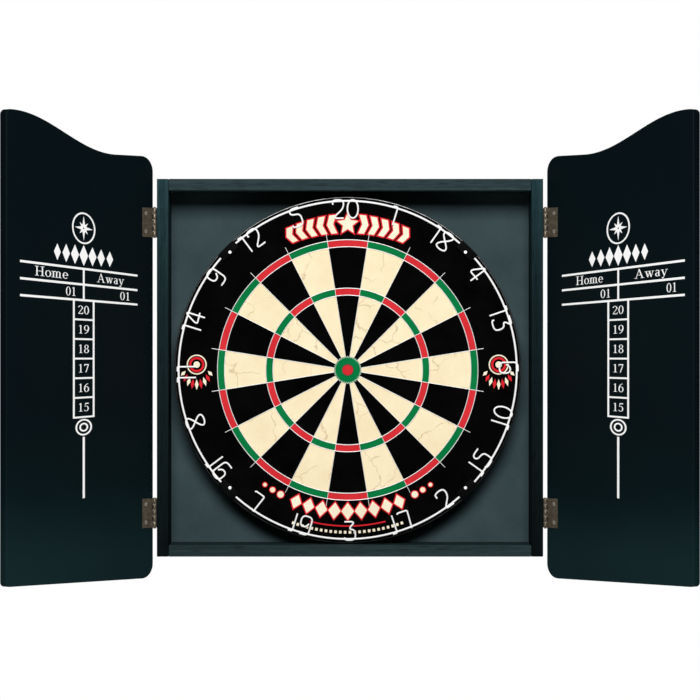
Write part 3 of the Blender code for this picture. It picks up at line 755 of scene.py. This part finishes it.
def screw_head(number):
    """A countersunk head with a cross recess drawn as flat bars of painted shade, its top at z = 0, looking
    along +z.
    """
    random.seed(number)
    shape = bmesh.new()
    head = bmesh.new()
    add_rod(head, (0, 0, -1.1 * MM), (0, 0, 0), SCREW_HEAD - 1.1 * MM, 24, SCREW_HEAD)
    soften(head, 0.18 * MM, 2, 20)
    pour(head, shape)
    for face in shape.faces:
        face.material_index = 0
    turn = Matrix.Rotation(random.uniform(0, math.pi), 4, "Z")
    # The cross is two flat bars in the dark finish laid across the head's top: painted shade for a recess.
    for angle in (0, math.pi / 2):
        arm = bmesh.new()
        size = Matrix.Diagonal((2.6 * MM, 0.62 * MM, 0.1 * MM, 1.0))
        bmesh.ops.create_cube(arm, size=1.0, matrix=turn @ Matrix.Rotation(angle, 4, "Z") @ size)
        for face in arm.faces:
            face.material_index = 1
        pour(arm, shape)
    return shape


def hinge_place(side, level):
    """From a hinge's own frame to the case's, with the pin on Z at that level."""
    return Matrix.Translation((pins["left" if side < 0 else "right"].x, pins["left"].y, level))


# In a leaf's own frame x runs from the pin and y points out of the face that carries it.
for side_name, side in SIDES.items():
    for level_name in ("upper", "lower"):
        name = f"hinge_{side_name}_{level_name}"
        low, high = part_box(name + "_case_leaf")
        length = high.z - low.z
        level = (high.z + low.z) / 2
        flip = Matrix.Diagonal((-side, 1, 1, 1))
        on_case = hinge_place(side, level) @ Matrix.Diagonal((side, 1, 1, 1)) @ Matrix(
            ((0, 1, 0, 0), (1, 0, 0, 0), (0, 0, 1, 0), (0, 0, 0, 1))
        )
        on_door = door_place(side_name) @ Matrix.Translation((0, 0, level)) @ flip
        kinds = (
            ("case", on_case, (1, 3), 1.3 * MM, "case"),
            ("door", on_door, (0, 2, 4), 1.1 * MM, f"door_{side_name}"),
        )
        for kind, place, rows, offset, body in kinds:
            shape = hinge_leaf(rows, length, offset)
            bmesh.ops.transform(shape, matrix=place, verts=shape.verts)
            bmesh.ops.recalc_face_normals(shape, faces=shape.faces)
            piece(f"{name}_{kind}_plate", shape, [bronze], body, [f"{name}_{kind}_leaf"])
            for number, spread in enumerate((-SCREW_SPREAD, SCREW_SPREAD), 1):
                shape = screw_head(number + 10 * rows[0] + (20 if side > 0 else 0))
                stand = Matrix.Translation((SCREW_FROM_PIN, 0.02 * MM - offset, spread))
                stand = stand @ Matrix.Rotation(-math.pi / 2, 4, "X")
                bmesh.ops.transform(shape, matrix=place @ stand, verts=shape.verts)
                bmesh.ops.recalc_face_normals(shape, faces=shape.faces)
                screw = f"{name}_{kind}_screw_{number}"
                piece(screw + "_head", shape, [zinc, recess_shade], body, [screw])
        shape = bmesh.new()
        add_rod(shape, (0, 0, -length / 2 - 0.3 * MM), (0, 0, length / 2 + 0.3 * MM), 1.2 * MM, 20)
        for end in (-1, 1):
            cap = bmesh.new()
            start = end * (length / 2 + 0.1 * MM)
            add_rod(cap, (0, 0, start), (0, 0, start + end * 1.0 * MM), 2.0 * MM, 24, 1.3 * MM)
            soften(cap, 0.2 * MM, 2, 30)
            pour(cap, shape)
        bmesh.ops.transform(shape, matrix=hinge_place(side, level), verts=shape.verts)
        bmesh.ops.recalc_face_normals(shape, faces=shape.faces)
        piece(name + "_headed_pin", shape, [bronze], "case", [name + "_pin"])


# The board: a disc of packed sisal, printed in black, cream, red and green, in a black steel band.
# Its face frame has x to the right, y up and z out of the wall, from the middle of the board.
band_low, band_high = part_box("rim_band")
BOARD_RADIUS = (band_high.x - band_low.x) / 2
board_centre = Vector(((band_low.x + band_high.x) / 2, 0, (band_low.z + band_high.z) / 2))
on_board = Matrix.Translation(board_centre) @ Matrix.Rotation(math.pi / 2, 4, "X")
FACE = -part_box("sisal_disc")[0].y
SISAL_BACK = -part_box("sisal_disc")[1].y
SISAL_RADIUS = (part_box("sisal_disc")[1].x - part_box("sisal_disc")[0].x) / 2
SECTORS = 20
DOUBLE = (160.4 * MM, 169.5 * MM)
TREBLE = (97.4 * MM, 106.5 * MM)
OUTER_BULL = 17 * MM
INNER_BULL = 7.2 * MM


def sisal(name, dark, light, cracks=0.0, crack_colour=(0.3, 0.2, 0.1)):
    """Printed bristle ends: a fine speckle, with long thin splits where the fibres part."""
    made, tree, shader = new_finish(name, 0.85, 0.0)
    fibres = noise(tree, (1500.0, 1500.0, 1500.0), 3.0, 0.7)
    patches = noise(tree, (28.0, 28.0, 28.0), 4.0, 0.6)
    mixed = add_node(tree, "Mix", {0: 0.45, 2: fibres, 3: patches}).outputs[0]
    colour = ramp(tree, mixed, ((0.36, dark), (0.6, light)))
    if cracks:
        place = add_node(tree, "TexCoord").outputs["Object"]
        wander = add_node(tree, "TexNoise", {"Vector": place, "Scale": 60.0, "Detail": 3.0})
        drift = {0: wander.outputs["Color"], 1: (0.022, 0.022, 0.022)}
        bent = add_node(tree, "VectorMath", drift, operation="MULTIPLY_ADD")
        tree.links.new(place, bent.inputs[2])
        sockets = {"Vector": bent.outputs[0], "Scale": 21.0}
        cells = add_node(tree, "TexVoronoi", sockets, feature="DISTANCE_TO_EDGE")
        line = scale_range(tree, cells.outputs["Distance"], 0.0, 0.022, 1.0, 0.0)
        here = scale_range(tree, noise(tree, (24.0, 24.0, 24.0), 2.0), 0.46, 0.56, 0.0, cracks)
        split = add_node(tree, "Math", {0: line, 1: here}, operation="MULTIPLY").outputs[0]
        colour = add_node(
            tree, "Mix", {0: split, 6: colour, 7: (*crack_colour, 1.0)}, data_type="RGBA"
        ).outputs[2]
    tree.links.new(colour, shader.inputs["Base Color"])
    raise_surface(tree, shader, fibres, 0.00025)
    return made


black_print = sisal("black_sisal", (0.0006, 0.0006, 0.0006), (0.0026, 0.0026, 0.0026))
cream_print = sisal("cream_sisal", (0.80, 0.67, 0.43), (0.90, 0.79, 0.55), 0.6, (0.50, 0.34, 0.18))
red_print = sisal("red_sisal", (0.52, 0.021, 0.028), (0.65, 0.032, 0.041))
green_print = sisal("green_sisal", (0.001, 0.14, 0.036), (0.005, 0.19, 0.054))
INKS = (black_print, cream_print, red_print, green_print)


def turn_into(shape, profile, steps, closed=False):
    """Spins a profile of (radius, height) points about z into a closed surface."""
    points = [shape.verts.new((radius, 0, height)) for radius, height in profile]
    runs = [shape.edges.new(pair) for pair in zip(points, points[1:])]
    if closed:
        runs.append(shape.edges.new((points[-1], points[0])))
    bmesh.ops.spin(
        shape,
        geom=points + runs,
        cent=(0, 0, 0),
        axis=(0, 0, 1),
        angle=2 * math.pi,
        steps=steps,
        use_merge=True,
    )
    close_up(shape, 0.002 * MM)


def ink_of(radius, sector):
    """The number of the ink at that radius in that sector, counted clockwise from the top."""
    even = sector % 2 == 0
    if radius < INNER_BULL:
        return 2
    if radius < BULL_EDGE:
        return 3
    if DOUBLE[0] < radius < DOUBLE[1] or TREBLE[0] < radius < TREBLE[1]:
        return 2 if even else 3
    if radius > DOUBLE[1]:
        return 0
    return 0 if even else 1


shape = bmesh.new()
BULL_EDGE = OUTER_BULL + 0.7 * MM  # where the green ends, under the teeth
plain_rings = (40 * MM, 70 * MM, *TREBLE, 135 * MM, *DOUBLE, 195 * MM)
rings = (0, INNER_BULL, BULL_EDGE, *plain_rings, SISAL_RADIUS - 1 * MM)
profile = [(radius, FACE) for radius in rings]
profile += [(SISAL_RADIUS, FACE - 1 * MM), (SISAL_RADIUS, SISAL_BACK), (0, SISAL_BACK)]
turn_into(shape, profile, SECTORS * 10)
for face in shape.faces:
    middle = face.calc_center_median()
    if middle.z > FACE - 0.01 * MM:
        bearing = math.degrees(math.atan2(middle.x, middle.y)) % 360
        sector = int((bearing + 9) // 18) % SECTORS
        face.material_index = ink_of(Vector((middle.x, middle.y)).length, sector)
bmesh.ops.transform(shape, matrix=on_board, verts=shape.verts)
piece("printed_sisal", shape, INKS, "board", ["sisal_disc"])

band_paint, tree, shader = new_finish("black_band_enamel", 0.32, 0.5)
speckle(tree, shader, 120.0, (0.3, (0.004, 0.004, 0.005)), (0.7, (0.010, 0.010, 0.011)))
raise_surface(tree, shader, noise(tree, (260.0, 260.0, 260.0)), 0.00004)
bare_lip, tree, shader = new_finish("worn_steel_lip", 0.3, 0.5, 1.0)
speckle(tree, shader, 90.0, (0.3, (0.05, 0.05, 0.05)), (0.7, (0.14, 0.14, 0.14)))
shape = bmesh.new()
inner = SISAL_RADIUS + 0.3 * MM
low = -band_high.y
high = -band_low.y
lip = 0.5 * MM
profile = (
    (inner, high),
    (BOARD_RADIUS - lip, high),
    (BOARD_RADIUS, high - lip),
    (BOARD_RADIUS, low + lip),
    (BOARD_RADIUS - lip, low),
    (inner, low),
)
turn_into(shape, profile, 240, closed=True)
for face in shape.faces:
    face.material_index = int(face.calc_center_median().z > high - lip)
bmesh.ops.transform(shape, matrix=on_board, verts=shape.verts)
piece("steel_band", shape, [band_paint, bare_lip], "board", ["rim_band"], 50)


# The print on the number band: plain ornament in cream edged with red, a star between chevrons over
# the top, lozenges between round pips under the bottom, and a roundel at each side.
cream_ink = sisal("cream_ornament", (0.80, 0.70, 0.50), (0.93, 0.86, 0.68))
red_ink = sisal("red_ornament", (0.55, 0.012, 0.02), (0.72, 0.025, 0.035))


def bent_round(outline, radius, bearing):
    """Moves (along, outward) points to the band: along the circle of that radius from a bearing."""
    found = []
    for along, outward in outline:
        angle = math.radians(bearing) + along / radius
        reach = radius + outward
        found.append((math.sin(angle) * reach, math.cos(angle) * reach))
    return found


def outlined(lower, upper, outline, radius, bearing, edge):
    """A shape in the upper ink over a larger one in the lower ink, as an edge all round it."""
    points = [Vector(point) for point in outline]
    grown = []
    for number, point in enumerate(points):
        before = (point - points[number - 1]).normalized()
        after = (points[(number + 1) % len(points)] - point).normalized()
        off = Vector((before.y + after.y, -before.x - after.x))
        off = off.normalized() * edge / max(0.45, math.sqrt((1 + before.dot(after)) / 2))
        if off.dot(Vector((before.y, -before.x))) < 0:
            off = -off
        grown.append(tuple(point + off))
    upper.fill(bent_round(outline, radius, bearing))
    lower.fill(bent_round(grown, radius, bearing))


def chevron(along, half, height, lean):
    """A bar that leans by that much at mid-height, listed clockwise from its lower left."""
    return [
        (along - half, -height),
        (along - half + lean, 0),
        (along - half, height),
        (along + half, height),
        (along + half + lean, 0),
        (along + half, -height),
    ][::-1]


def star(points, outer, inner):
    found = []
    for number in range(2 * points):
        reach = outer if number % 2 == 0 else inner
        angle = math.pi * number / points
        found.append((-math.sin(angle) * reach, math.cos(angle) * reach))
    return found


cream = Print()
red = Print()
outlined(red, cream, star(5, 14 * MM, 6.5 * MM), 190 * MM, 0, 1.7 * MM)
for side in (-1, 1):
    for number in range(5):
        along = side * (18.5 + 13.8 * number) * MM
        tall = (12.0 - 0.5 * number) * MM
        bar = chevron(along, 4.0 * MM, tall, side * 4.5 * MM)
        outlined(red, cream, bar, 190.5 * MM, 0, 1.7 * MM)
for number in range(-4, 5):
    size = (11.0 - abs(number) * 0.4) * MM
    along = number * 17.2 * MM
    lozenge = [(along, -size), (along + size * 0.75, 0), (along, size), (along - size * 0.75, 0)]
    outlined(red, cream, lozenge, 184 * MM, 180, 1.6 * MM)
for side in (-1, 1):
    for number in range(3):
        pip = (4.2 - 0.9 * number) * MM
        along = side * (91 + 12 * number) * MM
        turns = [2 * math.pi * corner / 20 for corner in range(20)]
        ring = [(along - pip * math.sin(turn), pip * math.cos(turn)) for turn in turns]
        outlined(red, cream, ring, 184 * MM, 180, 1.3 * MM)


def band_arc(draw, radius, width, start, end, steps):
    """A thin arc round the band between two bearings."""
    for number in range(steps):
        one = start + (end - start) * number / steps
        two = start + (end - start) * (number + 1) / steps
        corners = []
        for bearing, reach in ((one, radius - width), (two, radius - width), (two, radius), (one, radius)):
            angle = math.radians(bearing)
            corners.append((math.sin(angle) * reach, math.cos(angle) * reach))
        draw.fill(corners)


band_arc(red, 204 * MM, 1.8 * MM, 166, 194, 20)
for number in range(24):
    bearing = 160.5 + 1.7 * number
    band_arc(cream, 213 * MM, 3.6 * MM, bearing - 0.45, bearing + 0.45, 1)


def roundel(cream, red, side):
    """A target with a laurel of short leaves under it, at one side of the board."""
    x = side * 196.5 * MM
    y = 7 * MM
    cream.bow((x, y), (13 * MM, 13 * MM), (1.6 * MM, 1.6 * MM), 0, 360, 32)
    red.bow((x, y), (10 * MM, 10 * MM), (3.0 * MM, 3.0 * MM), 0, 360, 32)
    cream.disc((x, y), (4.2 * MM, 4.2 * MM), 20)
    for number in range(-4, 5):
        angle = math.radians(270 + number * 16)
        base = Vector((x + 16 * MM * math.cos(angle), y + 19 * MM * math.sin(angle)))
        tip = Vector((x + 23 * MM * math.cos(angle), y + 33 * MM * math.sin(angle)))
        run = (tip - base).normalized()
        off = Vector((-run.y, run.x)) * 2.4 * MM
        middle = (base + tip) / 2
        which = red if number % 2 else cream
        which.fill([tuple(base), tuple(middle + off), tuple(tip), tuple(middle - off)])


for side in (-1, 1):
    roundel(cream, red, side)
inks = (("red_ornament", red, red_ink, 0.0), ("cream_ornament", cream, cream_ink, 0.14 * MM))
for name, draw, made_of, lift in inks:
    place = on_board @ Matrix.Translation((0, 0, FACE + 0.01 * MM + lift))
    bmesh.ops.transform(draw.shape, matrix=place, verts=draw.shape.verts)
    bmesh.ops.recalc_face_normals(draw.shape, faces=draw.shape.faces)
    piece(name, draw.shape, [made_of], "board")


# The spider: round galvanised wire, twenty spokes welded over four hoops, held close to the sisal.
# Two stamped steel rings stand in the sisal round the bull, the larger one with a crimped edge.
WIRE_RADIUS = 0.55 * MM
SPOKES = (18.6 * MM, 179 * MM)

wire_metal, tree, shader = new_finish("galvanised_wire", 0.38, 0.5, 0.35)
speckle(tree, shader, 500.0, (0.3, (0.80, 0.80, 0.79)), (0.7, (0.95, 0.95, 0.94)))


def hoop_into(shape, radius, thickness, height, around, sides):
    """A round wire hoop."""
    profile = [(radius + x, height + y) for x, y in arc(0, 0, thickness, thickness, 0, 360, sides)[:-1]]
    turn_into(shape, profile, around, closed=True)


spider_low = -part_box("spider")[1].y
spider_middle = spider_low + WIRE_RADIUS
shape = bmesh.new()
for radius in (*DOUBLE, *TREBLE):
    hoop = bmesh.new()
    hoop_into(hoop, radius, WIRE_RADIUS, spider_middle, 200, 8)
    pour(hoop, shape)
for number in range(SECTORS):
    angle = 2 * math.pi * (number + 0.5) / SECTORS
    away = Vector((math.sin(angle), math.cos(angle), 0))
    lift = Vector((0, 0, spider_middle))
    add_rod(shape, away * SPOKES[0] + lift, away * SPOKES[1] + lift, WIRE_RADIUS * 0.75, 8)
bmesh.ops.transform(shape, matrix=on_board, verts=shape.verts)
piece("welded_spider", shape, [wire_metal], "board", ["spider"], 60)

BULL_PROUD = 1.0 * MM
TOOTH_SWELL = 0.055  # of the ring's radius
# The inner bull ring is the same steel as the outer one, given a dark brownish colour: painted shade for the
# shadow it stands in.
painted_shade_steel, tree, shader = new_finish("painted_shade_steel", 0.5, 0.3, 0.4)
speckle(tree, shader, 400.0, (0.3, (0.06, 0.035, 0.03)), (0.7, (0.13, 0.08, 0.07)))
bull_rings = (("outer", OUTER_BULL, 40, wire_metal), ("inner", INNER_BULL, 0, painted_shade_steel))
for name, radius, teeth, made_of in bull_rings:
    shape = bmesh.new()
    low = FACE - 4.7 * MM
    high = FACE + BULL_PROUD
    half = 0.35 * MM
    profile = (
        (radius - half, low),
        (radius - half, high - 0.15 * MM),
        (radius - half + 0.15 * MM, high),
        (radius + half - 0.15 * MM, high),
        (radius + half, high - 0.15 * MM),
        (radius + half, low),
    )
    turn_into(shape, profile, 320, closed=True)
    if teeth:
        for vert in shape.verts:
            angle = math.atan2(vert.co.y, vert.co.x)
            swell = 1 + TOOTH_SWELL * math.cos(teeth * angle)
            vert.co.x *= swell
            vert.co.y *= swell
    bmesh.ops.transform(shape, matrix=on_board, verts=shape.verts)
    piece(f"{name}_bull_hoop", shape, [made_of], "board", [f"bull_ring_{name}"], 50)


# The number ring: a hoop of white-coated wire with the twenty scores bent from thinner wire and
# welded inside it. Four black clips on the edge of the board hold it down, each with a white stud.
RING_RADIUS = 220 * MM
RING_WIRE = 1.35 * MM
NUMERAL_WIRE = 1.15 * MM
NUMERAL_HEIGHT = 24 * MM
NUMERAL_REACH = 221.5 * MM  # just past the hoop that they are welded to
NUMERAL_HALF = 7 * MM
NUMERAL_PITCH = 19 * MM
RING_TURN = math.radians(0.8)  # how far the loose ring has crept round
SCORES = (20, 1, 18, 4, 13, 6, 10, 15, 2, 17, 3, 19, 7, 16, 8, 11, 14, 9, 12, 5)
BASES_ON_RING = (10, 15, 2, 17, 3, 19, 7, 16, 8)

coated_wire, tree, shader = new_finish("white_coated_wire", 0.35, 0.5)
speckle(tree, shader, 300.0, (0.3, (0.86, 0.87, 0.87)), (0.7, (0.95, 0.95, 0.95)))
raise_surface(tree, shader, noise(tree, (900.0, 900.0, 900.0)), 0.00002)


def eased(corners, cut):
    """The path through those corners, with up to that much of each side rounded off."""
    points = [Vector(corner) for corner in corners]
    found = [points[0]]
    for before, here, after in zip(points, points[1:], points[2:]):
        start = here.lerp(before, min(0.5, cut / (before - here).length))
        end = here.lerp(after, min(0.5, cut / (after - here).length))
        for step in range(7):
            share = step / 6
            found.append(start.lerp(here, share).lerp(here.lerp(end, share), share))
    found.append(points[-1])
    return found


def digit_path(digit, base_on_ring):
    """The wire's path for one digit, in a box one unit high and centred at x = 0."""
    side = NUMERAL_HALF / NUMERAL_HEIGHT
    if digit == 0:
        return arc(0, 0.5, side, 0.5, 90, 450, 32)
    if digit == 1:
        foot = 0 if base_on_ring else 1
        return eased([(0, 1 - foot), (0, foot), (-0.85 * side, foot)], 0.06)
    if digit == 8:
        turns = [2 * math.pi * (step + 0.5) / 48 for step in range(49)]
        return [(side * math.sin(2 * turn), 0.5 + 0.5 * math.cos(turn)) for turn in turns]
    nine = [(0.6, 0.64), (0.1, 0.4), (-1, 0.44), (-1, 1), (1, 1), (1, 0), (-0.7, 0)]
    corners = {
        2: [(-1, 0.74), (-1, 1), (1, 1), (1, 0.55), (-1, 0), (1, 0)],
        3: [(-1, 1), (1, 1), (-0.3, 0.6), (1, 0.55), (1, 0), (-1, 0), (-1, 0.16)],
        4: [(0.4, 0), (0.4, 1), (0.1, 1), (-1, 0.45), (-1, 0.3), (1, 0.34)],
        5: [(1, 1), (-0.8, 1), (-0.8, 0.68), (1, 0.64), (1, 0), (-1, 0), (-1, 0.14)],
        6: [(-x, 1 - y) for x, y in nine],
        7: [(-1, 0.94), (-0.9, 1), (1, 1), (0.8, 0)],
        9: nine,
    }[digit]
    return eased([(x * side, y) for x, y in corners], 0.1 if digit in (4, 7) else 0.25)


def numeral_paths():
    """The wire's path for every digit of the twenty scores, in the board's face frame."""
    found = []
    for number, score in enumerate(SCORES):
        angle = 2 * math.pi * number / SECTORS - RING_TURN
        outward = Vector((math.sin(angle), math.cos(angle)))
        on_ring = score in BASES_ON_RING
        up = -outward if on_ring else outward
        across = Vector((up.y, -up.x))
        base = NUMERAL_REACH if on_ring else NUMERAL_REACH - NUMERAL_HEIGHT
        digits = [int(letter) for letter in str(score)]
        pitch = NUMERAL_PITCH * (0.75 if 1 in digits else 1)
        for place, digit in enumerate(digits):
            shift = (place - (len(digits) - 1) / 2) * pitch
            path = []
            for x, y in digit_path(digit, on_ring):
                path.append(outward * base + across * (x * NUMERAL_HEIGHT + shift) + up * y * NUMERAL_HEIGHT)
            found.append(path)
    return found


ring_height = FACE + 0.3 * MM + RING_WIRE
curve = bpy.data.curves.new("numeral_wire", "CURVE")
curve.dimensions = "3D"
curve.bevel_depth = NUMERAL_WIRE
curve.bevel_resolution = 2
curve.use_fill_caps = True
for path in numeral_paths():
    looped = (path[0] - path[-1]).length < NUMERAL_WIRE
    points = path[:-1] if looped else path
    spline = curve.splines.new("POLY")
    spline.points.add(len(points) - 1)
    for point, spot in zip(spline.points, points):
        point.co = (spot.x, spot.y, ring_height, 1)
    spline.use_cyclic_u = looped
guide = bpy.data.objects.new("numeral_wire", curve)
bpy.context.scene.collection.objects.link(guide)
bpy.context.view_layer.update()
bent = bpy.data.meshes.new_from_object(guide.evaluated_get(bpy.context.evaluated_depsgraph_get()))
bpy.data.objects.remove(guide)
shape = bmesh.new()
shape.from_mesh(bent)
bpy.data.meshes.remove(bent)
bmesh.ops.remove_doubles(shape, verts=shape.verts, dist=0.005 * MM)
hoop = bmesh.new()
hoop_into(hoop, RING_RADIUS, RING_WIRE, ring_height, 240, 12)
pour(hoop, shape)
bmesh.ops.transform(shape, matrix=on_board, verts=shape.verts)
bmesh.ops.recalc_face_normals(shape, faces=shape.faces)
piece("wire_number_ring", shape, [coated_wire], "number_ring", ["number_ring"], 60)

clip_plastic, tree, shader = new_finish("black_clip_plastic", 0.6, 0.02)
speckle(tree, shader, 200.0, (0.3, (0.0015, 0.0015, 0.0016)), (0.7, (0.0032, 0.0032, 0.0034)))
raise_surface(tree, shader, noise(tree, (1200.0, 1200.0, 1200.0)), 0.00003)
CLIP = {"half": 13.5 * MM, "inner": 213 * MM, "outer": 224.8 * MM, "post": 2.9 * MM, "thick": 1.2 * MM}
for number, angle in enumerate((45, 135, 225, 315), 1):
    over = FACE + 0.6 * MM + 2 * RING_WIRE
    turn = on_board @ Matrix.Rotation(-math.radians(angle), 4, "Z")
    profile = (
        (CLIP["inner"], over),
        (CLIP["inner"], over + CLIP["thick"]),
        (CLIP["outer"], over + CLIP["thick"]),
        (CLIP["outer"], FACE + 0.3 * MM),
        (CLIP["outer"] - CLIP["post"], FACE + 0.3 * MM),
        (CLIP["outer"] - CLIP["post"], over),
    )
    shape = bmesh.new()
    corners = [shape.verts.new((-CLIP["half"], reach, height)) for reach, height in profile]
    side_face = shape.faces.new(corners)
    grown = bmesh.ops.extrude_face_region(shape, geom=[side_face])["geom"]
    moved = [part for part in grown if isinstance(part, bmesh.types.BMVert)]
    bmesh.ops.translate(shape, verts=moved, vec=(2 * CLIP["half"], 0, 0))
    close_up(shape)
    soften(shape, 0.4 * MM, 2)
    bmesh.ops.transform(shape, matrix=turn, verts=shape.verts)
    piece(f"number_clip_{number}", shape, [clip_plastic], "board", [f"ring_clip_{number}"])
    shape = bmesh.new()
    top = over + CLIP["thick"]
    add_rod(shape, (0, 216.6 * MM, top - 0.3 * MM), (0, 216.6 * MM, top + 0.5 * MM), 2.1 * MM, 24)
    soften(shape, 0.3 * MM, 2)
    bmesh.ops.transform(shape, matrix=turn, verts=shape.verts)
    piece(f"clip_stud_{number}", shape, [coated_wire], "board")


# Behind the board: the chipboard backing, the hanging bracket and its screws, and three soft pads.
# They keep the shapes of the CAD pieces and get their own finishes. Dark glue fills the case's joints.
chipboard, tree, shader = new_finish("chipboard", 0.85, 0.2)
place = add_node(tree, "TexCoord").outputs["Object"]
chips = add_node(tree, "TexVoronoi", {"Vector": place, "Scale": 420.0})
tree.links.new(
    ramp(tree, chips.outputs["Color"], ((0.2, (0.26, 0.17, 0.09)), (0.8, (0.52, 0.38, 0.23)))),
    shader.inputs["Base Color"],
)
raise_surface(tree, shader, chips.outputs["Distance"], 0.0002)
paint(["board_backing"], chipboard)
bracket_paint, tree, shader = new_finish("black_bracket_coat", 0.45, 0.5)
speckle(tree, shader, 350.0, (0.3, (0.010, 0.010, 0.010)), (0.7, (0.022, 0.022, 0.022)))
raise_surface(tree, shader, noise(tree, (1400.0, 1400.0, 1400.0)), 0.00003)
paint(["hanging_bracket"], bracket_paint)
paint(["board_screw"] + [f"bracket_screw_{number}" for number in range(1, 5)], zinc)
pad_foam, tree, shader = new_finish("pad_foam", 0.9, 0.1)
speckle(tree, shader, 800.0, (0.3, (0.012, 0.012, 0.012)), (0.7, (0.035, 0.035, 0.035)))
raise_surface(tree, shader, noise(tree, (1600.0, 1600.0, 1600.0)), 0.0002)
paint([f"spacer_pad_{number}" for number in range(1, 4)], pad_foam)

GLUE = 0.26 * MM  # across a joint, inside its 0.3 mm gap
GLUE_DEPTH = 5 * MM
GLUE_FROM_WALL = 4.5 * MM  # to the middle of the line
GLUE_X = 234.85 * MM
GLUE_Z = 229.35 * MM
glue, tree, shader = new_finish("dark_glue", 0.6, 0.1)
speckle(tree, shader, 300.0, (0.35, (0.003, 0.007, 0.008)), (0.65, (0.007, 0.014, 0.016)))
shape = bmesh.new()
for side in (-1, 1):
    for middle, size in (
        ((side * GLUE_X, -GLUE_FROM_WALL, 0), (GLUE, GLUE_DEPTH, 488 * MM)),
        ((0, -GLUE_FROM_WALL, side * GLUE_Z), (469 * MM, GLUE_DEPTH, GLUE)),
    ):
        place = Matrix.Translation(middle) @ Matrix.Diagonal((*size, 1.0))
        bmesh.ops.create_cube(shape, size=1.0, matrix=place)
piece("joint_glue", shape, [glue], "case")
